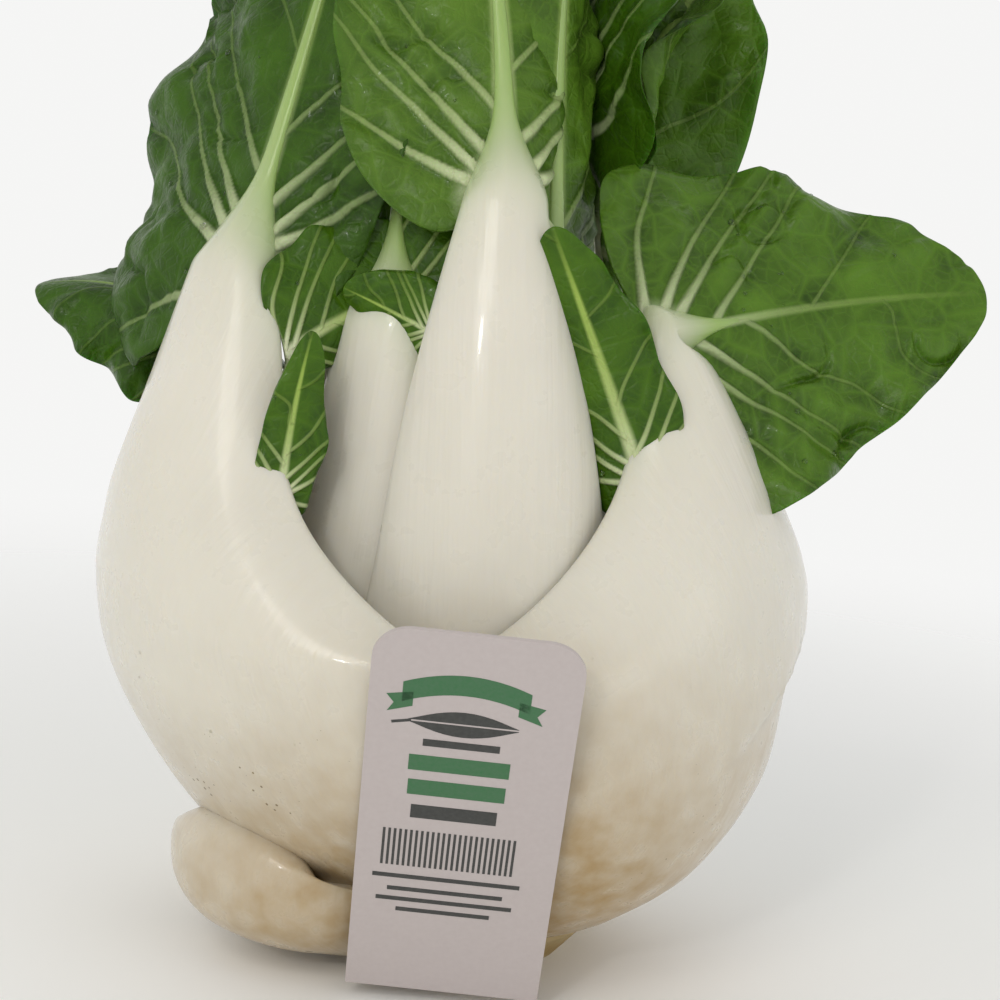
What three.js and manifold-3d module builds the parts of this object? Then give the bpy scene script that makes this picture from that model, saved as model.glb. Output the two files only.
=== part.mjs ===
// Head of bok choy, millimetres, +Z up. The origin is the centre of the flat cut face of the butt,
// and azimuth 0 looks out of the front, along -Y. Each leaf is a fleshy white stalk that swells into
// the bulb and tapers into the midrib, with a thin green blade on the inner side of that midrib.
import * as THREE from "three";
import { mergeVertices } from "three/addons/utils/BufferGeometryUtils.js";
import Module from "manifold-3d";

const wasm = await Module();
wasm.setup();

// Driving dimensions
const CLEARANCE = 0.35; // gap between neighbours that press on each other
const BLADE_THICKNESS = 1.2;
const RIB_REACH = 0.6; // share of the blade's length that the white midrib reaches
const RIB_START = 0.6; // width of the midrib where it leaves the neck, as a share of the neck's
const RIB_FULLNESS = 0.65; // height of the midrib, as a share of its width's taper
const BUTT_RADIUS = 28;
const BUTT_WIDEST = 34;
const BUTT_HEIGHT = 36;
const TAG_WIDTH = 38;
const TAG_LENGTH = 87;
const TAG_THICKNESS = 0.8;
const TAG_CORNER = 7;
const TAG_FOOT = [2.8, -44, 3]; // middle of the lower edge
const TAG_LEAN = 24; // degrees that the tag leans out over the bulge
const TAG_TURN = 1.5; // degrees that it turns in its own plane

const WHITE = "#e2dfd2";
const CUT_FACE = "#c7b48c";
const CARD = "#e6e5e2";
const GREENS = { dark: "#34521b", middle: "#4f702a", bright: "#71923a", pale: "#8aa552" };

// Common lists for a stalk, from the butt to the neck: thickness in the middle and at the edges, wrap.
const STALK_MIDDLE = [9, 10, 11, 11, 10, 10, 9, 9, 7];
const STALK_EDGE = [3, 2, 2, 2.5, 3, 3, 3, 3.5, 4];
const INNER_MIDDLE = [7, 8, 8, 8, 8, 8, 8, 7, 6];
const INNER_WRAP = [0.9, 1, 1, 1, 1, 1, 1.1, 1.1, 1.1];

// Each leaf has the azimuth of its middle in degrees and lists that run evenly from butt to neck:
// height and radius of the outer face, turn of the azimuth, half width round the section, how far the
// section wraps (radians each side), roll of the section, thickness. The blade's curl runs from neck
// to tip, and its lobes from midrib to margin: how far that part hangs back towards the butt.
const LEAVES = [
  {
    name: "left", layer: "outer",
    azimuth: -64, green: "middle",
    height: [20, 28, 42, 58, 74, 88, 104, 125, 145],
    radius: [44, 54, 65, 74, 78, 78, 75, 67, 60],
    turn: [0, 0, 0, 0, 0, 2, 4, 4, 2],
    half: [40, 58, 76, 86, 88, 68, 36, 24, 12],
    wrap: [1, 1.15, 1.2, 1.3, 1.35, 1.3, 1.2, 1.2, 1.1],
    roll: [0, 0, 0, 0, 0, 0, -5, -15, -30],
    middle: [9, 10, 11, 11, 10, 10, 9, 9, 8],
    edge: STALK_EDGE,
    blade: {
      length: 105, left: 46, right: 25,
      lift: 5, bend: -8, sway: -8,
      curlLeft: [0.5, 0.6, 0.5, 0.3], curlRight: [0.5, 0.6, 0.5, 0.3],
      lobeLeft: [0, 0.1, 0.2, 0.25], lobeRight: [0, 0.05, 0.1, 0.1],
      ruffle: [4, 3, 0],
    },
  },
  {
    name: "right", layer: "outer",
    azimuth: 64, green: "dark",
    height: [7, 14, 26, 42, 60, 76, 92, 112, 136],
    radius: [31, 46, 60.5, 69.5, 73, 73.5, 71, 62, 48],
    turn: [0, 0, 0, 0, 0, -2, -5, -9, -14],
    half: [32, 46, 64, 80, 86, 98, 70, 26, 8],
    wrap: [1, 1.1, 1.2, 1.3, 1.4, 1.45, 1.35, 1.1, 1.1],
    roll: [0, 0, 0, 0, 0, 0, 0, 10, 30],
    middle: STALK_MIDDLE,
    edge: STALK_EDGE,
    blade: {
      length: 74, left: 38, right: 41, full: 0.36,
      turn: 95, bend: 5, sway: 15, twist: 10,
      curlLeft: [0.3, 0.3, 0.2, 0.1], curlRight: [0.3, 0.1, 0.1, 0],
      lobeLeft: [0, 0.05, 0.05, 0], lobeRight: [0, 0.1, 0.15, 0.15],
      ruffle: [3, 2.5, 0],
    },
  },
  {
    name: "back", layer: "outer",
    azimuth: 182, green: "dark",
    height: [10, 22, 38, 56, 74, 92, 112, 136, 158],
    radius: [36, 50, 61, 66, 66, 62, 55, 47, 40],
    half: [32, 46, 54, 54, 44, 32, 24, 18, 9],
    wrap: INNER_WRAP,
    middle: STALK_MIDDLE,
    edge: STALK_EDGE,
    blade: {
      length: 118, left: 56, right: 56,
      lift: 5, bend: 60,
      curlLeft: [0.1, 0.1, 0.1, 0.1], curlRight: [0.1, 0.1, 0.1, 0.1],
      ruffle: [5, 3, 0.6],
    },
  },
  {
    name: "back_left", layer: "outer",
    azimuth: -124, green: "dark",
    height: [8, 20, 36, 53, 68, 83, 97, 108, 118],
    radius: [31, 42, 52, 56, 57, 57, 57, 57, 57],
    turn: [0, 0, 0, 0, 2, 6, 12, 17, 20],
    half: [26, 36, 42, 42, 36, 28, 21, 15, 9],
    wrap: INNER_WRAP,
    middle: STALK_MIDDLE,
    edge: STALK_EDGE,
    blade: {
      length: 56, left: 27, right: 25,
      lift: 45, bend: 60,
      curlLeft: [-0.6, -0.6, -0.6, -0.6], curlRight: [-0.9, -1.3, -1.4, -1.4],
      ruffle: [3, 3, 0],
    },
  },
  {
    name: "back_right", layer: "outer",
    azimuth: 136, green: "dark",
    height: [8, 20, 36, 54, 70, 86, 102, 124, 146],
    radius: [30, 42, 51, 55, 55, 53, 50, 46, 42],
    half: [26, 36, 42, 42, 36, 28, 22, 17, 9],
    wrap: INNER_WRAP,
    middle: STALK_MIDDLE,
    edge: STALK_EDGE,
    blade: {
      length: 104, left: 14, right: 42,
      bend: 75, sway: -16,
      curlLeft: [1.2, 1.2, 1.2, 1.2], curlRight: [-0.2, -0.2, -0.2, -0.2],
      ruffle: [5, 3, 0.3],
    },
  },
  {
    name: "centre", layer: "inner",
    azimuth: 4, green: "pale",
    height: [6, 20, 40, 60, 80, 100, 120, 142, 161],
    radius: [30, 40, 50, 54, 54, 52, 48, 43, 37],
    turn: [4, 4, 4, 4, 4, 3, 2, 0, -1],
    half: [26, 34, 36, 33, 28, 25, 22, 16, 10],
    wrap: [0.8, 0.9, 0.9, 0.85, 0.9, 0.9, 1, 1.1, 1.1],
    middle: [8, 9, 10, 10, 9, 9, 9, 8, 8],
    edge: STALK_EDGE,
    blade: {
      length: 100, left: 32, right: 12,
      lift: -5, bend: 10, sway: -16,
      curlLeft: [0.1, 0, -0.1, 0], curlRight: [1.2, 1.2, 1.2, 1.2],
      lobeLeft: [0, 0.06, 0.08, 0.06],
      ruffle: [3, 3, 0],
    },
  },
  {
    name: "inner_left", layer: "inner",
    azimuth: -40, green: "bright",
    height: [8, 22, 38, 54, 70, 86, 102, 118, 134],
    radius: [24, 34, 42, 46, 47, 46, 44, 42, 40],
    turn: [4, 4, 4, 4, 4, 4, 4, 4, 4],
    half: [20, 26, 27, 27, 26, 24, 21, 18, 12],
    wrap: INNER_WRAP,
    middle: [7, 8, 8, 8, 8, 8, 8, 8, 7],
    edge: STALK_EDGE,
    blade: {
      length: 50, left: 16, right: 13,
      bend: 8, sway: -16,
      curlLeft: [0.5, 0.5, 0.5, 0.5], curlRight: [0.6, 0.6, 0.6, 0.6],
      ruffle: [2, 3, 0],
    },
  },
  {
    name: "inner_right", layer: "inner",
    azimuth: 36, green: "dark",
    height: [10, 26, 42, 58, 74, 90, 105, 120, 132],
    radius: [22, 30, 36, 38, 38, 37, 35, 32, 30],
    half: [18, 24, 26, 26, 24, 22, 18, 14, 8],
    wrap: INNER_WRAP,
    middle: INNER_MIDDLE,
    edge: STALK_EDGE,
    blade: {
      length: 105, left: 20, right: 20,
      bend: 5, sway: 4,
      curlLeft: [1.2, 1.2, 1.2, 1.2], curlRight: [1.2, 1.2, 1.2, 1.2],
      ruffle: [3, 3, 0],
    },
  },
  {
    name: "inner_back", layer: "inner",
    azimuth: 140,
    height: [12, 28, 46, 64, 82, 104, 126, 150, 172],
    radius: [20, 28, 34, 36, 36, 34, 31, 27, 23],
    half: [18, 24, 26, 26, 24, 22, 18, 14, 8],
    wrap: INNER_WRAP,
    middle: INNER_MIDDLE,
    edge: STALK_EDGE,
    blade: {
      length: 90, left: 34, right: 34,
      bend: 40,
      curlLeft: [0.5, 0.5, 0.5, 0.5], curlRight: [0.5, 0.5, 0.5, 0.5],
      ruffle: [4, 3, 0],
    },
  },
  {
    name: "inner_back_left", layer: "inner",
    azimuth: -92, green: "bright",
    height: [12, 28, 46, 64, 82, 100, 118, 136, 150],
    radius: [22, 30, 36, 38, 39, 39, 38, 38, 38],
    half: [18, 24, 26, 26, 24, 22, 18, 14, 8],
    wrap: INNER_WRAP,
    roll: [0, 0, 0, 0, 0, 0, -10, -20, -40],
    middle: INNER_MIDDLE,
    edge: STALK_EDGE,
    blade: {
      length: 62, left: 26, right: 28,
      lift: 10, bend: 10, sway: 10,
      curlLeft: [0.5, 0.5, 0.5, 0.5], curlRight: [0.5, 0.5, 0.5, 0.5],
      ruffle: [3, 3, 0],
    },
  },
  {
    name: "heart_front", layer: "heart",
    azimuth: -20, green: "bright",
    height: [30, 50, 70, 90, 110, 130, 148, 164, 178],
    radius: [8, 14, 17, 18, 18, 17, 16, 14, 13],
    half: [8, 12, 14, 14, 13, 12, 10, 8, 5],
    wrap: [0.9, 0.9, 0.9, 0.9, 0.9, 0.9, 0.9, 0.9, 0.9],
    middle: [5, 6, 6, 6, 6, 6, 5, 5, 4],
    edge: [2, 2, 2, 2, 2, 2, 2, 2, 2],
    blade: {
      length: 52, left: 15, right: 15,
      bend: 20,
      curlLeft: [0.9, 0.9, 0.9, 0.9], curlRight: [0.9, 0.9, 0.9, 0.9],
      ruffle: [2, 3, 0],
    },
  },
  {
    name: "heart_back", layer: "heart",
    azimuth: 165, green: "bright",
    height: [30, 50, 70, 90, 110, 130, 148, 166, 182],
    radius: [6, 11, 14, 15, 15, 14, 13, 12, 11],
    half: [8, 12, 14, 14, 13, 12, 10, 8, 5],
    wrap: [0.9, 0.9, 0.9, 0.9, 0.9, 0.9, 0.9, 0.9, 0.9],
    middle: [5, 6, 6, 6, 6, 6, 5, 5, 4],
    edge: [2, 2, 2, 2, 2, 2, 2, 2, 2],
    blade: {
      length: 54, left: 16, right: 16,
      bend: 12,
      curlLeft: [1, 1, 1, 1], curlRight: [1, 1, 1, 1],
      ruffle: [2, 3, 0],
    },
  },
  {
    name: "stub", layer: "trimmed",
    azimuth: -45,
    height: [2, 6, 10, 15, 21, 27, 31, 34, 35],
    radius: [42, 51, 57, 60.5, 61.5, 60.5, 58, 53, 47],
    half: [17, 24, 30, 33, 34, 33, 30, 25, 16],
    wrap: [0.9, 0.9, 0.9, 0.9, 0.9, 0.9, 0.9, 0.9, 0.9],
    roll: [-9, -9, -9, -9, -9, -9, -9, -9, -9],
    middle: [16, 18, 19, 20, 20, 19, 16, 12, 7],
    edge: [6, 6, 6, 6, 6, 6, 6, 6, 6],
  },
  {
    name: "left_lobe",
    host: "left", along: 0.9, across: 1, neck: 4, green: "bright",
    blade: {
      length: 42, left: 18, right: 8,
      turn: 36, bend: 8, sway: 12,
      curlLeft: [0.4, 0.4, 0.4, 0.4], curlRight: [0.8, 0.8, 0.8, 0.8],
      lobeLeft: [0, -0.03, -0.05, -0.04],
      ruffle: [1.5, 3, 0],
    },
  },
  {
    name: "right_fold",
    host: "right", along: 0.89, across: -0.9, neck: 4, green: "middle",
    blade: {
      length: 52, left: 13, right: 11,
      turn: 6, bend: 10,
      curlLeft: [0.6, 0.6, 0.6, 0.6], curlRight: [0.6, 0.6, 0.6, 0.6],
      ruffle: [1.5, 3, 0],
    },
  },
  {
    name: "centre_lobe",
    host: "centre", along: 0.83, across: -0.95, neck: 3, green: "bright",
    blade: {
      length: 20, left: 7, right: 9,
      turn: -55, lift: 30, bend: 10,
      curlLeft: [0.4, 0.4, 0.4, 0.4], curlRight: [0.4, 0.4, 0.4, 0.4],
      ruffle: [1, 2, 0],
    },
  },
  {
    name: "left_wing",
    host: "left", along: 0.76, across: 1, neck: 3, green: "bright",
    blade: {
      length: 32, left: 5, right: 7,
      turn: -15, sway: 8,
      curlLeft: [0.3, 0.3, 0.3, 0.3], curlRight: [0.3, 0.3, 0.3, 0.3],
      ruffle: [1, 2, 0],
    },
  },
];

// Smooth curve through evenly spaced values, at s from 0 to 1.
function follow(values, s) {
  const last = values.length - 1;
  const place = Math.min(Math.max(s, 0), 1) * last;
  const i = Math.min(Math.floor(place), last - 1);
  const f = place - i;
  const b = values[i];
  const c = values[i + 1];
  const a = i > 0 ? values[i - 1] : 2 * b - c;
  const d = i + 2 <= last ? values[i + 2] : 2 * c - b;
  const cubic = (3 * b - a - 3 * c + d) * f ** 3;
  return 0.5 * (2 * b + (c - a) * f + (2 * a - 5 * b + 4 * c - d) * f * f + cubic);
}

const radians = THREE.MathUtils.degToRad;
const UP = new THREE.Vector3(0, 0, 1);

function blend(a, x, b, y) {
  return a.clone().multiplyScalar(x).addScaledVector(b, y);
}

// Turns the pair a, b by an angle: a towards b.
function turned(a, b, angle) {
  const c = Math.cos(angle);
  const s = Math.sin(angle);
  return [blend(a, c, b, s).normalize(), blend(b, c, a, -s).normalize()];
}

// Middle of the stalk's outer face.
function spine(leaf, t) {
  const azimuth = radians(leaf.azimuth + (leaf.turn ? follow(leaf.turn, t) : 0));
  const r = follow(leaf.radius, t);
  return new THREE.Vector3(r * Math.sin(azimuth), -r * Math.cos(azimuth), follow(leaf.height, t));
}

// Frame of the stalk's section: point, along, side (to the right seen from outside), out.
function stalkFrame(leaf, t) {
  const step = 1e-3;
  const ahead = spine(leaf, Math.min(t + step, 1));
  const along = ahead.sub(spine(leaf, Math.max(t - step, 0))).normalize();
  const azimuth = radians(leaf.azimuth + (leaf.turn ? follow(leaf.turn, t) : 0));
  const tangent = new THREE.Vector3(Math.cos(azimuth), Math.sin(azimuth), 0);
  // the sections lie level at the butt and stand square to the stalk at the neck
  const square = t * t * (3 - 2 * t);
  const normal = blend(along, square, UP, 1 - square).normalize();
  let side = tangent.addScaledVector(normal, -tangent.dot(normal)).normalize();
  let out = new THREE.Vector3().crossVectors(side, normal);
  if (leaf.roll) [side, out] = turned(side, out, radians(follow(leaf.roll, t)));
  return { point: spine(leaf, t), along, side, out };
}

// Point of the stalk's outer face at u from -1 to 1 across, and the way out of the face there.
function stalkPoint(leaf, t, u) {
  const { point, side, out } = stalkFrame(leaf, t);
  const wrap = follow(leaf.wrap, t);
  const bendRadius = follow(leaf.half, t) / wrap;
  const angle = wrap * u;
  const face = blend(out, Math.cos(angle), side, Math.sin(angle));
  point.addScaledVector(side, bendRadius * Math.sin(angle));
  point.addScaledVector(out, -bendRadius * (1 - Math.cos(angle)));
  return { point, face };
}

function stalkDepth(leaf, t, u) {
  const edge = follow(leaf.edge, t);
  const middle = follow(leaf.middle, t);
  return edge + (middle - edge) * (1 - Math.min(Math.abs(u), 1) ** 2.4);
}

// Frame at the foot of a blade: on the inner side of the neck, or on the edge of a host stalk.
function bladeFoot(leaf) {
  if (!leaf.host) {
    const frame = stalkFrame(leaf, 1);
    frame.point.addScaledVector(frame.out, -leaf.middle.at(-1));
    return frame;
  }
  const host = LEAVES.find((other) => other.name === leaf.host);
  const { along, side, out } = stalkFrame(host, leaf.along);
  const { point } = stalkPoint(host, leaf.along, leaf.across);
  const [turnedOut, turnedSide] = turned(out, side, follow(host.wrap, leaf.along) * leaf.across);
  point.addScaledVector(turnedOut, -2);
  return { point, along, side: turnedSide, out: turnedOut };
}

// Frames along the blade's midrib, STEPS + 1 of them.
const STEPS = 60;
function bladeFrames(leaf) {
  const { length, turn = 0, lift = 0, bend = 0, sway = 0, twist = 0 } = leaf.blade;
  let { point, along, side, out } = bladeFoot(leaf);
  [along, side] = turned(along, side, radians(turn));
  [along, out] = turned(along, out, radians(lift));
  const frames = [{ point, along, side, out }];
  for (let i = 0; i < STEPS; i += 1) {
    [along, out] = turned(along, out, radians(bend) / STEPS);
    [along, side] = turned(along, side, radians(sway) / STEPS);
    [side, out] = turned(side, out, radians(twist) / STEPS);
    point = point.clone().addScaledVector(along, length / STEPS);
    frames.push({ point, along, side, out });
  }
  return frames;
}

// Half width of a blade at v from neck (0) to tip (1), as a share of its widest.
function bladeOutline(v, full = 0.62) {
  return Math.sin(Math.PI * (0.02 + 0.88 * v) ** full) ** 0.55;
}

// Point of the blade's middle sheet at v, u, and the way out of its outer side there.
function bladePoint(leaf, frames, v, u) {
  const { blade } = leaf;
  const place = Math.min(Math.max(v, 0), 1) * STEPS;
  const i = Math.min(Math.floor(place), STEPS - 1);
  const from = frames[i];
  const to = frames[i + 1];
  const point = from.point.clone().lerp(to.point, place - i);
  const along = from.along.clone().lerp(to.along, place - i);
  const side = from.side.clone().lerp(to.side, place - i);
  const out = from.out.clone().lerp(to.out, place - i);
  const across = Math.abs(u);
  const hand = u < 0 ? -1 : 1;
  const clamped = Math.min(Math.max(v, 0), 1);
  const neck = leaf.host ? leaf.neck : leaf.half.at(-1);
  const widest = u < 0 ? blade.left : blade.right;
  const width = Math.hypot(neck * (1 - clamped), widest * bladeOutline(clamped, blade.full));
  const curl = follow(u < 0 ? blade.curlLeft : blade.curlRight, clamped) || 0.001;
  const bendRadius = width / curl;
  const angle = curl * across;
  const face = blend(out, Math.cos(angle), side, Math.sin(angle) * hand);
  point.addScaledVector(side, bendRadius * Math.sin(angle) * hand);
  point.addScaledVector(out, -bendRadius * (1 - Math.cos(angle)));
  const lobe = follow((u < 0 ? blade.lobeLeft : blade.lobeRight) || [0, 0.02, 0.06, 0.12], across);
  const back = lobe * (1 - clamped) ** 2 + 0.1 * across ** 2 * clamped ** 2;
  point.addScaledVector(along, -back * blade.length);
  const [height, waves, phase] = blade.ruffle;
  const turns = waves * clamped + phase + (u < 0 ? 0 : 0.37);
  const wave = height * across ** 3 * Math.sin(2 * Math.PI * turns) * Math.sin(Math.PI * clamped) ** 0.5;
  point.addScaledVector(face, wave);
  return { point, face };
}

// Closed mesh from two matching grids of points, one above the other, joined round their border.
// Grid rows run along, columns across; top faces the way that row x column points.
function sheetBetween(top, bottom) {
  const rows = top.length;
  const columns = top[0].length;
  const positions = [];
  for (const grid of [top, bottom]) {
    for (const row of grid) {
      for (const point of row) positions.push(point.x, point.y, point.z);
    }
  }
  const at = (layer, i, j) => (layer * rows + i) * columns + j;
  const faces = [];
  const quad = (a, b, c, d) => faces.push(a, b, c, a, c, d);
  for (let i = 0; i + 1 < rows; i += 1) {
    for (let j = 0; j + 1 < columns; j += 1) {
      quad(at(0, i, j), at(0, i, j + 1), at(0, i + 1, j + 1), at(0, i + 1, j));
      quad(at(1, i, j), at(1, i + 1, j), at(1, i + 1, j + 1), at(1, i, j + 1));
    }
  }
  for (let i = 0; i + 1 < rows; i += 1) {
    quad(at(0, i, 0), at(0, i + 1, 0), at(1, i + 1, 0), at(1, i, 0));
    quad(at(0, i + 1, columns - 1), at(0, i, columns - 1), at(1, i, columns - 1), at(1, i + 1, columns - 1));
  }
  for (let j = 0; j + 1 < columns; j += 1) {
    quad(at(0, 0, j + 1), at(0, 0, j), at(1, 0, j), at(1, 0, j + 1));
    quad(at(0, rows - 1, j), at(0, rows - 1, j + 1), at(1, rows - 1, j + 1), at(1, rows - 1, j));
  }
  const geometry = new THREE.BufferGeometry();
  geometry.setAttribute("position", new THREE.Float32BufferAttribute(positions, 3));
  geometry.setIndex(faces);
  return geometry;
}

function solidOf(geometry) {
  const bare = geometry.clone();
  bare.deleteAttribute("normal");
  bare.deleteAttribute("uv");
  const merged = mergeVertices(bare, 1e-3);
  return new wasm.Manifold(
    new wasm.Mesh({
      numProp: 3,
      vertProperties: new Float32Array(merged.attributes.position.array),
      triVerts: new Uint32Array(merged.index.array),
    }),
  );
}

// Stalk with its midrib: sections up the stalk, then on along the outer side of the blade.
// grow swells it on every side, for cutting clearance out of a neighbour.
function stalkSolid(leaf, rows, columns, grow = 0) {
  const top = [];
  const bottom = [];
  for (let i = 0; i <= rows; i += 1) {
    const t = i / rows;
    const upper = [];
    const lower = [];
    for (let j = 0; j <= columns; j += 1) {
      const u = ((2 * j) / columns - 1) * (1 + grow / follow(leaf.half, t));
      const { point, face } = stalkPoint(leaf, t, u);
      if (i === 0) point.addScaledVector(UP, -grow);
      if (i === rows && !leaf.blade) point.addScaledVector(UP, grow);
      upper.push(point.clone().addScaledVector(face, grow));
      lower.push(point.clone().addScaledVector(face, -stalkDepth(leaf, t, u) - grow));
    }
    top.push(upper);
    bottom.push(lower);
  }
  if (leaf.blade) {
    const frames = bladeFrames(leaf);
    const neckHalf = leaf.half.at(-1);
    const neckDepth = leaf.middle.at(-1);
    const rings = 3;
    for (let i = 1; i <= rings; i += 1) {
      const v = (RIB_REACH * i) / rings;
      const left = (1 - i / (rings + 0.5)) * RIB_START;
      const half = neckHalf * left + grow;
      const depth = neckDepth * left * RIB_FULLNESS;
      const upper = [];
      const lower = [];
      for (let j = 0; j <= columns; j += 1) {
        const across = (2 * j) / columns - 1;
        const wide = across < 0 ? leaf.blade.left : leaf.blade.right;
        const u = (across * half) / Math.hypot(neckHalf * (1 - v), wide * bladeOutline(v, leaf.blade.full));
        const { point, face } = bladePoint(leaf, frames, v, u);
        if (i === rings) point.addScaledVector(frames[0].along, grow);
        const inner = BLADE_THICKNESS / 2 + CLEARANCE;
        const swell = depth * Math.sqrt(Math.max(1 - across * across, 0)) + BLADE_THICKNESS / 2;
        upper.push(point.clone().addScaledVector(face, inner + swell + grow));
        lower.push(point.clone().addScaledVector(face, inner - grow));
      }
      top.push(upper);
      bottom.push(lower);
    }
  }
  return solidOf(sheetBetween(top, bottom));
}

function bladeSolid(leaf, rows, columns, grow = 0) {
  const frames = bladeFrames(leaf);
  const half = BLADE_THICKNESS / 2 + grow;
  const top = [];
  const bottom = [];
  for (let i = 0; i <= rows; i += 1) {
    const v = i / rows;
    const upper = [];
    const lower = [];
    for (let j = 0; j <= columns; j += 1) {
      const u = ((2 * j) / columns - 1) * (1 + grow / 20);
      const { point, face } = bladePoint(leaf, frames, v, u);
      if (i === 0) point.addScaledVector(frames[0].along, -grow);
      if (i === rows) point.addScaledVector(frames[STEPS].along, grow);
      upper.push(point.clone().addScaledVector(face, half));
      lower.push(point.clone().addScaledVector(face, -half));
    }
    top.push(upper);
    bottom.push(lower);
  }
  return solidOf(sheetBetween(top, bottom));
}

// The largest piece of a solid that cutting may have left in several.
function largest(solid) {
  return solid.decompose().reduce((best, piece) => (piece.volume() > best.volume() ? piece : best));
}

function meshFrom(name, solid, colour, roughness) {
  const { vertProperties, triVerts } = solid.getMesh();
  const geometry = new THREE.BufferGeometry();
  geometry.setAttribute("position", new THREE.Float32BufferAttribute(vertProperties, 3));
  geometry.setIndex(new THREE.Uint32BufferAttribute(triVerts, 1));
  geometry.computeVertexNormals();
  const material = new THREE.MeshStandardMaterial({ color: colour, roughness, metalness: 0 });
  const mesh = new THREE.Mesh(geometry, material);
  mesh.name = name;
  return mesh;
}

// The butt: the short hard stem that the stalks grow from, cut flat below.
function buttSolid(grow = 0) {
  const profile = [
    [0, -grow],
    [BUTT_RADIUS + grow, -grow],
    [BUTT_WIDEST + grow, 7],
    [BUTT_WIDEST - 1 + grow, 13],
    [24 + grow, 22],
    [12 + grow, 32],
    [0, BUTT_HEIGHT + grow],
  ];
  const points = profile.map(([x, y]) => new THREE.Vector2(x, y));
  return solidOf(new THREE.LatheGeometry(points, 40).rotateX(Math.PI / 2));
}

// Blank hanging tag: a card with two rounded upper corners.
function tagSolid() {
  const half = TAG_WIDTH / 2;
  const card = new THREE.Shape();
  card.moveTo(-half, 0);
  card.lineTo(half, 0);
  card.lineTo(half, TAG_LENGTH - TAG_CORNER);
  card.absarc(half - TAG_CORNER, TAG_LENGTH - TAG_CORNER, TAG_CORNER, 0, Math.PI / 2, false);
  card.lineTo(TAG_CORNER - half, TAG_LENGTH);
  card.absarc(TAG_CORNER - half, TAG_LENGTH - TAG_CORNER, TAG_CORNER, Math.PI / 2, Math.PI, false);
  const options = { depth: TAG_THICKNESS, bevelEnabled: false, curveSegments: 6 };
  const geometry = new THREE.ExtrudeGeometry(card, options);
  geometry.rotateZ(-radians(TAG_TURN));
  geometry.rotateX(Math.PI / 2 + radians(TAG_LEAN));
  geometry.translate(...TAG_FOOT);
  return solidOf(geometry);
}

// Pieces in the order in which they keep their shape: a later one is cut clear of the earlier ones.
const placed = [];
function settle(name, solid, swollen, colour, roughness) {
  let shape = solid;
  for (const other of placed) {
    const boxA = other.swollen.boundingBox();
    const boxB = shape.boundingBox();
    const apart = [0, 1, 2].some((k) => boxA.min[k] > boxB.max[k] || boxB.min[k] > boxA.max[k]);
    if (!apart) shape = shape.subtract(other.swollen).subtract(other.shape);
  }
  shape = largest(shape);
  placed.push({ name, shape, swollen });
  return meshFrom(name, shape, colour, roughness);
}

const root = new THREE.Group();
root.name = "bok_choy";
root.add(settle("butt", buttSolid(), buttSolid(CLEARANCE), CUT_FACE, 0.8));
const tag = tagSolid();
root.add(settle("tag", tag, tag, CARD, 0.6));
const stalks = LEAVES.filter((leaf) => !leaf.host);
for (const leaf of stalks) {
  const rows = leaf.layer === "outer" ? 9 : 7;
  const columns = leaf.layer === "outer" ? 8 : 6;
  const solid = stalkSolid(leaf, rows, columns);
  root.add(settle(`stalk_${leaf.name}`, solid, stalkSolid(leaf, rows, columns, CLEARANCE), WHITE, 0.35));
}
for (const leaf of LEAVES.filter((each) => each.blade)) {
  const rows = leaf.host ? 5 : 7;
  const columns = leaf.host ? 4 : 6;
  const solid = bladeSolid(leaf, rows, columns);
  const swollen = bladeSolid(leaf, rows, columns, CLEARANCE);
  root.add(settle(`blade_${leaf.name}`, solid, swollen, GREENS[leaf.green || "middle"], 0.45));
}

export default root;
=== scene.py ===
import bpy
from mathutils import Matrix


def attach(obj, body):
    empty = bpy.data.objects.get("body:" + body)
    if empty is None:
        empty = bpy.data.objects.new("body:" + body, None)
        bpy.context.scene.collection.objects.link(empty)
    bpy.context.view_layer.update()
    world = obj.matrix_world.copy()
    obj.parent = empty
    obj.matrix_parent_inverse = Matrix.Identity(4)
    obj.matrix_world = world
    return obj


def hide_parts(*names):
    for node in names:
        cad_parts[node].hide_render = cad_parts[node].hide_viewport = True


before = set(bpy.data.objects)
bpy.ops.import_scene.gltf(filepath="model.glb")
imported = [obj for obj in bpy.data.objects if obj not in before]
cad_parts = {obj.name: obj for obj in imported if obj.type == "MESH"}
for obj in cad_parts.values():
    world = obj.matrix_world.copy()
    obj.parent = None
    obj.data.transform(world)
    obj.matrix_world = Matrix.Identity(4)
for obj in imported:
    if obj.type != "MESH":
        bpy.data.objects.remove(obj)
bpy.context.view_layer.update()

import math
import bpy
import numpy as np
from mathutils import Matrix, Vector

# Camera
# It looks at the middle of the head from a little above, level with the necks of the leaves, and is
# rolled a few degrees, so that the head leans to the right.
LOOK_AT = Vector((0.006, 0.0, 0.095))
VIEW_ELEVATION = math.radians(8)
VIEW_ROLL = math.radians(5)
VIEW_DISTANCE = 0.42
FOCAL_LENGTH = 70.9
SENSOR_WIDTH = 36.0


def add_object(name, data):
    """A new object at the origin of the scene."""
    thing = bpy.data.objects.new(name, data)
    bpy.context.scene.collection.objects.link(thing)
    return thing


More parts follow.
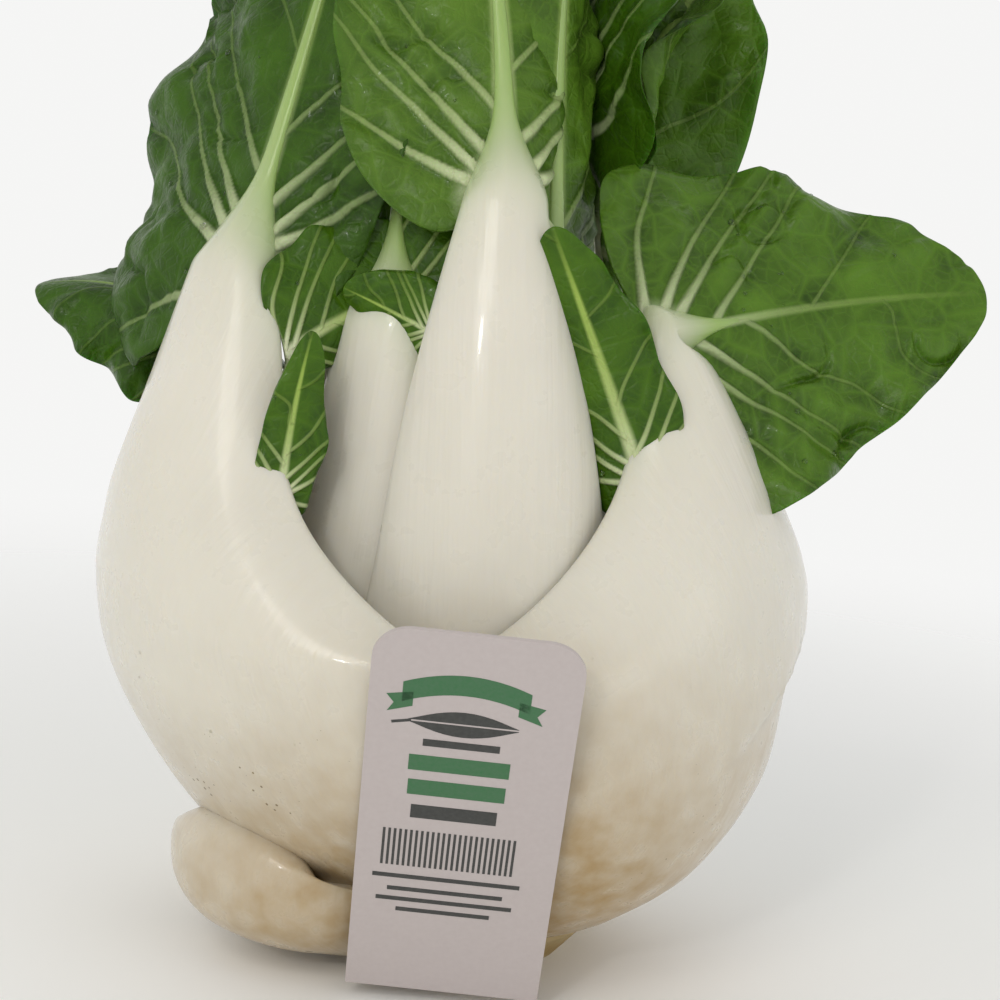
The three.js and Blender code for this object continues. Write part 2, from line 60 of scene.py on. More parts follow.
camera_data = bpy.data.cameras.new("camera")
camera_data.sensor_width = SENSOR_WIDTH
camera_data.lens = FOCAL_LENGTH
camera_data.clip_start = 0.01
camera = add_object("camera", camera_data)
bpy.context.scene.camera = camera
backward = Vector((0.0, -math.cos(VIEW_ELEVATION), math.sin(VIEW_ELEVATION)))
level_right = Vector((1.0, 0.0, 0.0))
view_right = level_right * math.cos(VIEW_ROLL) + backward.cross(level_right) * math.sin(VIEW_ROLL)
camera_turn = Matrix((view_right, backward.cross(view_right), backward)).transposed()
camera.matrix_world = Matrix.Translation(LOOK_AT + backward * VIEW_DISTANCE) @ camera_turn.to_4x4()


# Floor and light
# A pale matte floor that fades into a white room, which darkens overhead. One large soft lamp stands
# high on the left with a small one below it for glints, a weaker one on the right and one behind.
FLOOR_HALF_WIDTH = 4
FADE_START, FADE_END = 0.12, 0.6
WALL_TOP, CEILING = 0.3, 0.6
WALL_LIGHT, CEILING_LIGHT = 0.95, 0.68


def linear(hex_colour):
    """The linear value of an sRGB hex colour, with alpha 1."""
    parts = [int(hex_colour[i:i + 2], 16) / 255 for i in (1, 3, 5)]
    return tuple(c / 12.92 if c <= 0.04045 else ((c + 0.055) / 1.055) ** 2.4 for c in parts) + (1.0,)


def add_node(tree, kind, inputs=None, **settings):
    """Adds a node. An input is set to a value, or linked when it is given another node's socket."""
    node = tree.nodes.new(kind)
    for key, value in settings.items():
        setattr(node, key, value)
    for key, value in (inputs or {}).items():
        if isinstance(value, bpy.types.NodeSocket):
            tree.links.new(value, node.inputs[key])
        else:
            node.inputs[key].default_value = value
    return node


def new_material(name):
    """An empty material and its tree."""
    material = bpy.data.materials.new(name)
    material.use_nodes = True
    material.node_tree.nodes.clear()
    return material, material.node_tree


def end_material(tree, shader):
    """Makes a shader the surface of the material."""
    add_node(tree, "ShaderNodeOutputMaterial", {"Surface": shader.outputs[0]})


floor_mesh = bpy.data.meshes.new("floor")
corners = ((-1, -1), (1, -1), (1, 1), (-1, 1))
corners = [(x * FLOOR_HALF_WIDTH, y * FLOOR_HALF_WIDTH, 0) for x, y in corners]
floor_mesh.from_pydata(corners, [], [(0, 1, 2, 3)])
floor = add_object("floor", floor_mesh)
floor_paint, tree = new_material("floor_matte_paint")
grain = add_node(tree, "ShaderNodeTexNoise", {"Scale": 30.0})
floor_tone = add_node(tree, "ShaderNodeMix", {
    0: grain.outputs["Fac"], 6: linear("#fcfcfb"), 7: linear("#f7f7f5")}, data_type="RGBA")
paint = add_node(tree, "ShaderNodeBsdfPrincipled", {
    "Base Color": floor_tone.outputs[2], "Roughness": 0.9})
spot = add_node(tree, "ShaderNodeTexCoord")
distance = add_node(tree, "ShaderNodeVectorMath", {0: spot.outputs["Object"]}, operation="LENGTH")
far = add_node(tree, "ShaderNodeMapRange", {
    "Value": distance.outputs["Value"], "From Min": FADE_START, "From Max": FADE_END},
    interpolation_type="SMOOTHSTEP")
open_air = add_node(tree, "ShaderNodeBsdfTransparent")
end_material(tree, add_node(tree, "ShaderNodeMixShader", {
    0: far.outputs[0], 1: paint.outputs[0], 2: open_air.outputs[0]}))
floor_mesh.materials.append(floor_paint)

for name, location, size, power, colour in (
    ("key_lamp", (-0.32, -0.85, 0.75), 0.35, 2.0, "#fffaf2"),
    ("glint_lamp", (-0.3, -0.9, 0.5), 0.07, 0.9, "#ffffff"),
    ("fill_lamp", (0.8, -0.6, 0.4), 0.6, 0.4, "#f6f8ff"),
    ("back_lamp", (0.2, 0.7, 0.8), 0.6, 0.5, "#ffffff"),
):
    data = bpy.data.lights.new(name, "AREA")
    data.size = size
    data.energy = power
    data.color = linear(colour)[:3]
    lamp = add_object(name, data)
    lamp.location = location
    lamp.rotation_euler = (LOOK_AT - Vector(location)).to_track_quat("-Z", "Y").to_euler()
sky = bpy.data.worlds.new("sky")
sky.use_nodes = True
tree = sky.node_tree
tree.nodes.clear()
look = add_node(tree, "ShaderNodeTexCoord")
height = add_node(tree, "ShaderNodeSeparateXYZ", {0: look.outputs["Generated"]})
walls = add_node(tree, "ShaderNodeMapRange", {
    "Value": height.outputs["Z"], "From Min": WALL_TOP, "From Max": CEILING,
    "To Min": WALL_LIGHT, "To Max": CEILING_LIGHT}, interpolation_type="SMOOTHSTEP")
light = add_node(tree, "ShaderNodeBackground", {"Color": linear("#fbfbfa"), "Strength": walls.outputs[0]})
add_node(tree, "ShaderNodeOutputWorld", {"Surface": light.outputs[0]})
bpy.context.scene.world = sky
bpy.context.scene.view_settings.view_transform = "Standard"


# Left outer leaf: stalk
# A fleshy white stalk that bulges low down, narrows to the neck and goes on up the outer side of the
# blade as its midrib. It is solid, water-filled tissue, with a smooth wet skin, and grew round the
# inner leaves.
STALK_MIDDLE = [9, 10, 11, 11, 10, 10, 9, 9, 7]
STALK_EDGE = [3, 2, 2, 2.5, 3, 3, 3, 3.5, 4]
MIDRIB_STEPS = 60

# Leaves are in millimetres and degrees, and lists run from butt to neck, or from neck to tip. In a
# stalk, azimuth goes round the head from the front, height and radius place the middle of the outer
# face, turn shifts its azimuth, half is the half width over the curve, wrap how far it curls in
# radians, roll how far it tilts, and middle and edge its thicknesses. In a blade, left and right are
# the widths of its halves, then come its bends, the curl of each half, how far each lobe hangs back,
# and the height, number and phase of the waves of its margin.
leaves = {}
leaves["left"] = {
    "azimuth": -64, "tone": "middle",
    "height": [20, 28, 42, 58, 74, 88, 104, 125, 145],
    "radius": [44, 54, 65, 74, 78, 78, 75, 67, 60],
    "turn": [0, 0, 0, 0, 0, 2, 4, 4, 2],
    "half": [40, 58, 76, 86, 88, 68, 36, 24, 12],
    "wrap": [1, 1.15, 1.2, 1.3, 1.35, 1.3, 1.2, 1.2, 1.1],
    "roll": [0, 0, 0, 0, 0, 0, -5, -15, -30],
    "middle": [9, 10, 11, 11, 10, 10, 9, 9, 8],
    "blade": {
        "length": 105, "left": 46, "right": 25, "lift": 5, "bend": -8, "sway": -8,
        "curl_left": [0.5, 0.6, 0.5, 0.3], "curl_right": [0.5, 0.6, 0.5, 0.3],
        "lobe_left": [0, 0.1, 0.2, 0.25], "lobe_right": [0, 0.05, 0.1, 0.1],
        "ruffle": [4, 3, 0],
    },
}


def follow(values, s):
    """Smooth curve through evenly spaced values, at s from 0 to 1."""
    points = np.asarray(values, float)
    last = len(points) - 1
    place = np.clip(np.asarray(s, float), 0, 1) * last
    i = np.minimum(place.astype(int), last - 1)
    f = place - i
    b, c = points[i], points[i + 1]
    a = np.where(i == 0, 2 * b - c, points[np.maximum(i - 1, 0)])
    d = np.where(i + 2 > last, 2 * c - b, points[np.minimum(i + 2, last)])
    cubic = (3 * b - a - 3 * c + d) * f ** 3
    return 0.5 * (2 * b + (c - a) * f + (2 * a - 5 * b + 4 * c - d) * f ** 2 + cubic)


def unit(v):
    """A direction, at length 1."""
    return v / np.maximum(np.linalg.norm(v, axis=-1, keepdims=True), 1e-9)


def smooth_step(x):
    """Goes from 0 to 1 with a soft start and end."""
    return x * x * (3 - 2 * x)


def turned(a, b, degrees):
    """The pair a, b turned by an angle: a towards b."""
    angle = np.radians(degrees)
    if np.ndim(angle):
        angle = angle[..., None]
    return a * np.cos(angle) + b * np.sin(angle), b * np.cos(angle) - a * np.sin(angle)


def spine(leaf, t):
    """Middle of the stalk's outer face, and its azimuth."""
    azimuth = np.radians(leaf["azimuth"] + follow(leaf.get("turn", [0, 0]), t))
    radius = follow(leaf["radius"], t)
    height = follow(leaf["height"], t)
    return np.stack([radius * np.sin(azimuth), -radius * np.cos(azimuth), height], -1), azimuth


def stalk_frame(leaf, t):
    """Along, side and out of the stalk's section: level at the butt, square to the stalk at the neck."""
    step = 1e-3
    azimuth = spine(leaf, t)[1]
    along = unit(spine(leaf, np.minimum(t + step, 1))[0] - spine(leaf, np.maximum(t - step, 0))[0])
    square = smooth_step(t)[..., None]
    normal = unit(square * along + (1 - square) * np.array([0, 0, 1.0]))
    tangent = np.stack([np.cos(azimuth), np.sin(azimuth), 0 * azimuth], -1)
    side = unit(tangent - (tangent * normal).sum(-1, keepdims=True) * normal)
    out = np.cross(side, normal)
    if "roll" in leaf:
        side, out = turned(side, out, follow(leaf["roll"], t))
    return along, side, out


def stalk_point(leaf, t, u):
    """Point of the outer face at u from -1 to 1 across, and the way out of the face there."""
    along, side, out = stalk_frame(leaf, t)
    wrap = follow(leaf["wrap"], t)
    angle = (wrap * u)[..., None]
    bend_radius = (follow(leaf["half"], t) / wrap)[..., None]
    face = out * np.cos(angle) + side * np.sin(angle)
    drop = out * bend_radius * (1 - np.cos(angle))
    point = spine(leaf, t)[0] + side * bend_radius * np.sin(angle) - drop
    return point, face


def blade_frames(leaf):
    """Points, along, side and out at even steps up the blade's midrib."""
    blade = leaf["blade"]
    if "host" in leaf:
        host = leaves[leaf["host"]]
        t, u = np.array([leaf["at"]]), np.array([leaf["across"]])
        along, side, out = (way[0] for way in stalk_frame(host, t))
        point = stalk_point(host, t, u)[0][0]
        out, side = turned(out, side, math.degrees(follow(host["wrap"], t)[0]) * leaf["across"])
        point = point - out * 2
    else:
        one = np.array([1.0])
        along, side, out = (way[0] for way in stalk_frame(leaf, one))
        point = spine(leaf, one)[0][0] - out * leaf["middle"][-1]
    along, side = turned(along, side, blade.get("turn", 0))
    along, out = turned(along, out, blade.get("lift", 0))
    frames = [(point, along, side, out)]
    for _ in range(MIDRIB_STEPS):
        along, out = turned(along, out, blade.get("bend", 0) / MIDRIB_STEPS)
        along, side = turned(along, side, blade.get("sway", 0) / MIDRIB_STEPS)
        side, out = turned(side, out, blade.get("twist", 0) / MIDRIB_STEPS)
        point = point + along * blade["length"] / MIDRIB_STEPS
        frames.append((point, along, side, out))
    return [np.array([step[k] for step in frames]) for k in range(4)]


def blade_width(leaf, v, u):
    """Width of the half blade at v from neck to tip, measured over its curve."""
    blade = leaf["blade"]
    neck = leaf["neck"] if "host" in leaf else leaf["half"][-1]
    widest = np.where(u < 0, blade["left"], blade["right"])
    outline = np.sin(np.pi * (0.02 + 0.88 * np.clip(v, 0, 1)) ** blade.get("full", 0.62)) ** 0.55
    return np.hypot(neck * (1 - v), widest * outline)


def blade_point(leaf, v, u):
    """Point of the blade's middle sheet, the way out of its outer side, and its place in the leaf."""
    blade = leaf["blade"]
    place = np.clip(v, 0, 1) * MIDRIB_STEPS
    i = np.minimum(place.astype(int), MIDRIB_STEPS - 1)
    f = (place - i)[..., None]
    point, along, side, out = (rows[i] * (1 - f) + rows[i + 1] * f for rows in blade_frames(leaf))
    across, hand = np.abs(u), np.where(u < 0, -1.0, 1.0)[..., None]
    width = blade_width(leaf, v, u)
    curl = np.where(u < 0, follow(blade["curl_left"], v), follow(blade["curl_right"], v))
    curl = np.where(np.abs(curl) < 1e-3, 1e-3, curl)
    angle, bend_radius = (curl * across)[..., None], (width / curl)[..., None]
    face = out * np.cos(angle) + side * np.sin(angle) * hand
    point = point + side * bend_radius * np.sin(angle) * hand - out * bend_radius * (1 - np.cos(angle))
    plain = [0, 0.02, 0.06, 0.12]
    lobe_left, lobe_right = blade.get("lobe_left", plain), blade.get("lobe_right", plain)
    lobe = np.where(u < 0, follow(lobe_left, across), follow(lobe_right, across))
    back = (lobe * (1 - v) ** 2 + 0.1 * across ** 2 * v ** 2) * blade["length"]
    point = point - along * back[..., None]
    height, waves, phase = blade["ruffle"]
    wave = height * across ** 3 * np.sin(2 * np.pi * (waves * v + phase + np.where(u < 0, 0, 0.37)))
    point = point + face * (wave * np.sin(np.pi * np.clip(v, 0, 1)) ** 0.5)[..., None]
    point[..., 1] += leaf.get("lean_back", 0) * v
    return point, face, v * blade["length"] - back, width * u


def humps(a, b, size, seed):
    """Smooth random heights from -1 to 1, with about one hump to every size millimetres."""
    grid = np.random.default_rng(seed).uniform(-1, 1, (64, 64))
    x, y = a / size + 640, b / size + 640
    i, j = np.floor(x).astype(int), np.floor(y).astype(int)
    f, g = x - i, y - j
    f, g = smooth_step(f), smooth_step(g)
    low = grid[i % 64, j % 64] * (1 - g) + grid[i % 64, (j + 1) % 64] * g
    high = grid[(i + 1) % 64, j % 64] * (1 - g) + grid[(i + 1) % 64, (j + 1) % 64] * g
    return low * (1 - f) + high * f


def ease_rows(grid, ease):
    """Moves each row of a grid towards the middle of its neighbours, by a part from 0 to 1."""
    grid[1:-1] += (0.25 * grid[:-2] - 0.5 * grid[1:-1] + 0.25 * grid[2:]) * ease[1:-1]


def closed_sheet(over, under):
    """Points and quads of two matching grids, one over the other, joined round their border."""
    rows, columns = over.shape[:2]
    top = np.arange(rows * columns).reshape(rows, columns)
    low = top + rows * columns

    def strip(a, b, c, d):
        return np.stack([a.ravel(), b.ravel(), c.ravel(), d.ravel()], -1)

    faces = [
        strip(top[:-1, :-1], top[:-1, 1:], top[1:, 1:], top[1:, :-1]),
        strip(low[:-1, :-1], low[1:, :-1], low[1:, 1:], low[:-1, 1:]),
    ]
    for edge, below in (
        (top[:, 0], low[:, 0]), (top[::-1, -1], low[::-1, -1]),
        (top[0, ::-1], low[0, ::-1]), (top[-1], low[-1]),
    ):
        faces.append(strip(edge[:-1], edge[1:], below[1:], below[:-1]))
    points = np.concatenate([over.reshape(-1, 3), under.reshape(-1, 3)])
    return points, np.concatenate(faces)


def add_piece(name, points, faces, material, node, attributes):
    """A smooth mesh piece from points in millimetres, standing for a node, with values at its points."""
    mesh = bpy.data.meshes.new(name)
    mesh.from_pydata((points / 1000).tolist(), [], faces.tolist())
    mesh.polygons.foreach_set("use_smooth", [True] * len(mesh.polygons))
    for key, values in attributes.items():
        if values.ndim == 2:
            mesh.attributes.new(key, "FLOAT_VECTOR", "POINT").data.foreach_set("vector", values.ravel())
        else:
            mesh.attributes.new(key, "FLOAT", "POINT").data.foreach_set("value", values)
    mesh.materials.append(material)
    piece = add_object(name, mesh)
    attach(piece, "root")
    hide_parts(node)


# Wet stalk flesh: water-filled tissue under a thin waxy skin, which light enters and leaves again. It
# gives a soft ivory white with small sharp highlights, a green breath at the necks and tan near the butt;
# the tan is staining, which also serves as painted shade low on the bulb and below the older sheath's line.
stalk_flesh, tree = new_material("wet_stalk_flesh")
stalk_at = add_node(tree, "ShaderNodeAttribute", attribute_name="stalk_at")
green_at, stain_and_shade_at, speck_at = (
    add_node(tree, "ShaderNodeAttribute", attribute_name=key).outputs["Fac"]
    for key in ("green", "stain", "speck")
)
place = add_node(tree, "ShaderNodeTexCoord")
# clouds of about 25 mm in the white, and fibres 1.5 mm apart that run the length of the stalk
clouds = add_node(tree, "ShaderNodeTexNoise", {
    "Vector": place.outputs["Object"], "Scale": 40.0, "Detail": 3.0})
stretched = add_node(tree, "ShaderNodeMapping", {
    "Vector": stalk_at.outputs["Vector"], "Scale": (0.03, 0.65, 1.0)})
fibres = add_node(tree, "ShaderNodeTexNoise", {
    "Vector": stretched.outputs[0], "Scale": 1.0, "Detail": 2.0})
white = add_node(tree, "ShaderNodeMix", {
    0: clouds.outputs["Fac"], 6: linear("#dfdbce"), 7: linear("#d3cec1")}, data_type="RGBA")
veiled = add_node(tree, "ShaderNodeMath", {
    0: fibres.outputs["Fac"], 1: 0.10}, operation="MULTIPLY")
fibred = add_node(tree, "ShaderNodeMix", {
    0: veiled.outputs[0], 6: white.outputs[2], 7: linear("#c9c7b2")}, data_type="RGBA")
greened = add_node(tree, "ShaderNodeMix", {
    0: green_at, 6: fibred.outputs[2], 7: linear("#93ae62")}, data_type="RGBA")
# the staining colour, which also paints shade low on the bulb and below the older sheath's line, breaks up
# into blots of about 6 mm
blots = add_node(tree, "ShaderNodeTexNoise", {
    "Vector": place.outputs["Object"], "Scale": 160.0, "Detail": 4.0})
blot_edge = add_node(tree, "ShaderNodeMapRange", {
    "Value": blots.outputs["Fac"], "From Min": 0.3, "From Max": 0.7, "To Min": 0.6})
stain_and_shade_part = add_node(tree, "ShaderNodeMath", {
    0: stain_and_shade_at, 1: blot_edge.outputs[0]}, operation="MULTIPLY")
stained_and_shaded = add_node(tree, "ShaderNodeMix", {
    0: stain_and_shade_part.outputs[0], 6: greened.outputs[2], 7: linear("#a08044")}, data_type="RGBA")
# specks of soil, 0.3 mm wide, in drifts
speck_cells = add_node(tree, "ShaderNodeTexVoronoi", {
    "Vector": place.outputs["Object"], "Scale": 520.0})
speck_size = add_node(tree, "ShaderNodeMath", {
    0: speck_at, 1: 0.22}, operation="MULTIPLY")
speck = add_node(tree, "ShaderNodeMath", {
    0: speck_cells.outputs["Distance"], 1: speck_size.outputs[0]}, operation="LESS_THAN")
speckled = add_node(tree, "ShaderNodeMix", {
    0: speck.outputs[0], 6: stained_and_shaded.outputs[2], 7: linear("#7a6a4c")}, data_type="RGBA")
relief = add_node(tree, "ShaderNodeMath", {
    0: fibres.outputs["Fac"], 1: clouds.outputs["Fac"]}, operation="ADD")
skin_bump = add_node(tree, "ShaderNodeBump", {
    "Height": relief.outputs[0], "Strength": 0.35, "Distance": 0.0004})
skin_gloss = add_node(tree, "ShaderNodeMapRange", {
    "Value": blots.outputs["Fac"], "From Min": 0.3, "From Max": 0.7, "To Min": 0.24, "To Max": 0.38})
end_material(tree, add_node(tree, "ShaderNodeBsdfPrincipled", {
    "Base Color": speckled.outputs[2], "Roughness": skin_gloss.outputs[0],
    "Normal": skin_bump.outputs[0], "IOR": 1.38, "Subsurface Weight": 0.35,
    "Subsurface Radius": (1.0, 0.8, 0.5), "Subsurface Scale": 0.006,
    "Coat Weight": 0.5, "Coat Roughness": 0.08, "Coat IOR": 1.33}))


# the foot, lean and size of the tag, because the flesh behind it is pressed flat
TAG_FOOT = np.array([2.8, -44, 3])
TAG_LEAN, TAG_TURN = math.radians(24), math.radians(1.5)
TAG_SIZE = (38, 87)
tag_up = np.array([0, -math.sin(TAG_LEAN), math.cos(TAG_LEAN)])
tag_front = np.array([0, -math.cos(TAG_LEAN), -math.sin(TAG_LEAN)])
tag_side = np.array([1.0, 0, 0])
tag_right = tag_side * math.cos(TAG_TURN) - tag_up * math.sin(TAG_TURN)
tag_up = tag_up * math.cos(TAG_TURN) + tag_side * math.sin(TAG_TURN)


def behind_tag(points):
    """Presses flesh that would stand through the tag to just behind it, and eases round its edges."""
    apart = points - TAG_FOOT
    beside = np.maximum(np.abs(apart @ tag_right) - TAG_SIZE[0] / 2, 0)
    above = apart @ tag_up
    over = np.maximum(above - TAG_SIZE[1], 0) + np.maximum(-above, 0)
    proud = apart @ tag_front
    limit = -0.35 + 0.45 * np.hypot(beside, over)
    shift = np.where(proud > -25, np.maximum(proud - limit, 0), 0)
    return points - tag_front * shift[..., None]


# the midrib's half width and height by the neck, its half width at the tip, and the way over which
# the neck's flesh fades into it
RIB_HALF = 2.0
RIB_RISE = 1.4
RIB_TIP_HALF = 0.4
NECK_FADE = 11
# rounds of easing for the wide sides and for the neck
SIDE_PASSES = 60
NECK_PASSES = 14
# an older sheath ended at this height on the outer side; its line falls towards the front
SHEATH_TOP = 84
SHEATH_FALL = 50
SHEATH_EDGE = 4
# heights of the stain, the soil specks and the fine drops above the floor, and how far they reach
TAG_STAIN_TOP = 62
SPECK_LEVEL = 38
DROP_LEVEL = 62
REACH = 26


def neck_flesh(leaf, v):
    """How much flesh of the neck is left at v up the blade, from 1 to 0."""
    return np.exp(-(v * leaf["blade"]["length"] / NECK_FADE) ** 2)


def neck_half(leaf, v):
    """Half width of the midrib with the neck's flesh."""
    return RIB_HALF + (0.95 * leaf["half"][-1] - RIB_HALF) * neck_flesh(leaf, v)


def below_sheath(points, u):
    """1 below the line of the older sheath, on the outer side of a stalk, and 0 elsewhere."""
    line = SHEATH_TOP - SHEATH_FALL * np.clip(0.35 - u, 0, 0.7)
    below = smooth_step(np.clip((line - points[..., 2]) / SHEATH_EDGE, 0, 1))
    return below * np.clip((u + 0.35) / 0.4, 0, 1) * np.clip((0.9 - u) / 0.3, 0, 1)


def stain_by_tag(points):
    """Stain that gathers low on the front, beside the tag."""
    beside = np.maximum(np.abs(points[..., 0] - TAG_FOOT[0]) - TAG_SIZE[0] / 2, 0)
    low = np.clip(1.4 - points[..., 2] / TAG_STAIN_TOP, 0, 1)
    return np.exp(-(beside / REACH) ** 2) * low * (points[..., 1] < 0)


def near_level(height, level):
    """1 at a level above the floor, fading to 0 at REACH from it."""
    return np.clip(1 - np.abs(height - level) / REACH, 0, 1)


def grow_stalk(name, columns=48, stain=0.0, speck=0.0, rib_reach=0.75, tuck=0.0,
               crease=0.0, stain_and_shade_top=62.0):
    """Mesh of a stalk and its midrib: one skin from the butt up to where the rib thins out."""
    leaf = leaves[name]
    rows, rib_rows = 100, 60
    seed = sum(map(ord, name))
    u = np.sin(np.pi / 2 * np.linspace(-1, 1, columns + 1))[None, :]
    t = np.linspace(0, 1, rows)[:, None]
    t, u = np.broadcast_arrays(t, u)
    point, face = stalk_point(leaf, t, u)
    half, edge = follow(leaf["half"], t), follow(leaf.get("edge", STALK_EDGE), t)
    depth = edge + (follow(leaf["middle"], t) - edge) * (1 - np.abs(u) ** 2.4)
    if "blade" in leaf:
        near_edge = np.clip(1 - (1 - np.abs(u)) * half / (edge / 2), 0, 1)
        pull = edge / 2 * (1 - np.sqrt(1 - near_edge ** 2))
    else:
        pull = depth / 2 * (1 - np.sqrt((1 - np.abs(u) ** 3) * (1 - np.abs(2 * t - 1) ** 5)))
    length = np.cumsum(np.linalg.norm(np.diff(spine(leaf, t[:, 0])[0], axis=0), axis=1))
    length = np.concatenate([[0], length])[:, None] + 0 * u
    swell = 0.5 * humps(length, half * u, 26, seed) + 0.12 * humps(length / 9, half * u, 3.2, seed + 1)
    swell = swell * np.clip((1 - np.abs(u)) * half / 8, 0, 1)
    swell = swell - tuck * np.clip((-u - 0.5) / 0.5, 0, 1) ** 1.5 * np.clip((0.66 - t) / 0.12, 0, 1)
    over = point + face * (swell - pull)[..., None]
    under = point - face * (depth - pull)[..., None]
    # the wide sides are eased along the stalk, where one row would fold over the next
    ease = np.clip((np.abs(u) - 0.25) / 0.35, 0, 1)[..., None]
    for _ in range(SIDE_PASSES):
        for grid in (over, under):
            ease_rows(grid, ease)
    # the flesh below the older sheath's line stands back, and is painted darker as shade under the overhang
    below = below_sheath(over, u)
    over -= face * (crease * below)[..., None]
    stalk_at = np.stack([length, half * u, 0 * u], -1)
    green = np.clip((t - 0.82) / 0.18, 0, 1) ** 2 * (0.15 + 0.85 * np.abs(u) ** 3) * 0.7
    level = point[..., 2]
    # part staining, part painted shade: the tan deepens towards the bottom, is staining beside the tag, and
    # is painted shade below the older sheath's line
    stain_and_shade_mask = 0.75 * np.clip(1 - level / stain_and_shade_top, 0, 1) + 0.6 * stain_by_tag(point) + 0.09 * crease * below
    stained_and_shaded = stain * np.clip(stain_and_shade_mask, 0, 1)
    drifts = np.clip(0.5 + humps(length, half * u, 9, 5), 0, 1)
    speckled = speck * near_level(level, SPECK_LEVEL) * drifts
    if "blade" in leaf:
        v = np.linspace(0, rib_reach, rib_rows + 1)[1:, None]
        v, across = np.broadcast_arrays(v, u[:1])
        taper = 1 - v / rib_reach
        flesh = neck_flesh(leaf, v)
        rib_half = RIB_TIP_HALF + neck_half(leaf, v) * taper
        rib, rib_face = blade_point(leaf, v, across * rib_half / blade_width(leaf, v, across))[:2]
        rise = (RIB_RISE + (leaf["middle"][-1] - 1.9) * flesh) * taper
        rib_swell = 0.3 + rise * np.sqrt(1 - across ** 2)
        over = np.concatenate([over, rib + rib_face * rib_swell[..., None]])
        under = np.concatenate([under, rib - rib_face * 0.1])
        along = length[-1:] + v * leaf["blade"]["length"]
        stalk_at = np.concatenate([stalk_at, np.stack([along, rib_half * across, 0 * v], -1)])
        rib_green = 0.3 + 0.45 * (1 - flesh) + 0.5 * (1 - taper) + 0.2 * np.abs(across) ** 2
        green = np.concatenate([green, np.clip(rib_green, 0, 1)])
        stained_and_shaded = np.concatenate([stained_and_shaded, 0 * v])
        speckled = np.concatenate([speckled, 0 * v])
        # the neck flows into the rib: rows near it are smoothed along the stalk
        row = np.arange(len(over))
        ease = np.clip(1.4 - np.abs(row - rows) / 9, 0, 1)[:, None, None]
        for _ in range(NECK_PASSES):
            ease_rows(over, ease)
            ease_rows(under, ease)
            ease_rows(green, ease[..., 0])
    rinsed = near_level(over[..., 2], DROP_LEVEL)
    rinsed = rinsed * np.clip(2.5 * humps(stalk_at[..., 0], stalk_at[..., 1], 16, seed + 5) - 0.4, 0, 1)
    points, faces = closed_sheet(behind_tag(over), behind_tag(under))
    twice = [np.concatenate([grid.reshape(-1)] * 2) for grid in (green, stained_and_shaded, speckled)]
    place_at = np.concatenate([stalk_at.reshape(-1, 3)] * 2)
    add_piece(f"{name}_stalk", points, faces, stalk_flesh, f"stalk_{name}", {
        "stalk_at": place_at, "green": twice[0], "stain": twice[1], "speck": twice[2],
        "wet": np.concatenate([rinsed.reshape(-1), 0 * rinsed.reshape(-1)])})


grow_stalk("left", stain=0.9, speck=1.0)


# Left outer leaf: blade
# Thin glossy green tissue on both sides of the midrib. Pale side veins branch off the midrib and fan
# out of the neck, the panels between them are puckered, and the margin is waved.

# a blade of this length has its veins at full size
FULL_BLADE = 90
# how far from the neck the pale veins, their raised ribs, the ribs' thick roots, the pale tone and the
# fleshy palm reach
VEIN_REACH = 24
RIB_REACH = 28
ROOT_REACH = 9
PALE_REACH = 20
PALM_REACH = 7
PUCKER_SIZE = 7.5
FINE_PUCKER_SIZE = 4
FOLD_SIZE = 10
FOLD_DEPTH = 1.1
# the margin starts at this part of the half width, and its wave is this high
MARGIN_START = 0.88
MARGIN_WAVE = 1.2
TISSUE_HALF = 0.35


def vein_order(along, across, slope, size, seed):
    """Number that is whole on each side vein. Veins crowd at the neck and part from the midrib at a
    sharp angle; those of the basal lobes fan out of the neck."""
    along, across = along / size, across / size
    out = np.abs(across)
    ahead = along - out * (slope + 0.006 * out)
    wander = 0.2 * humps(along, across, 17, seed) + np.where(across < 0, 0.4, 0.0)
    leading = 1.6 * np.log1p(np.maximum(ahead, 0) / 10)
    fan = -np.arctan2(np.maximum(-ahead, 0), out + 2) / 0.45
    return leading + fan + wander


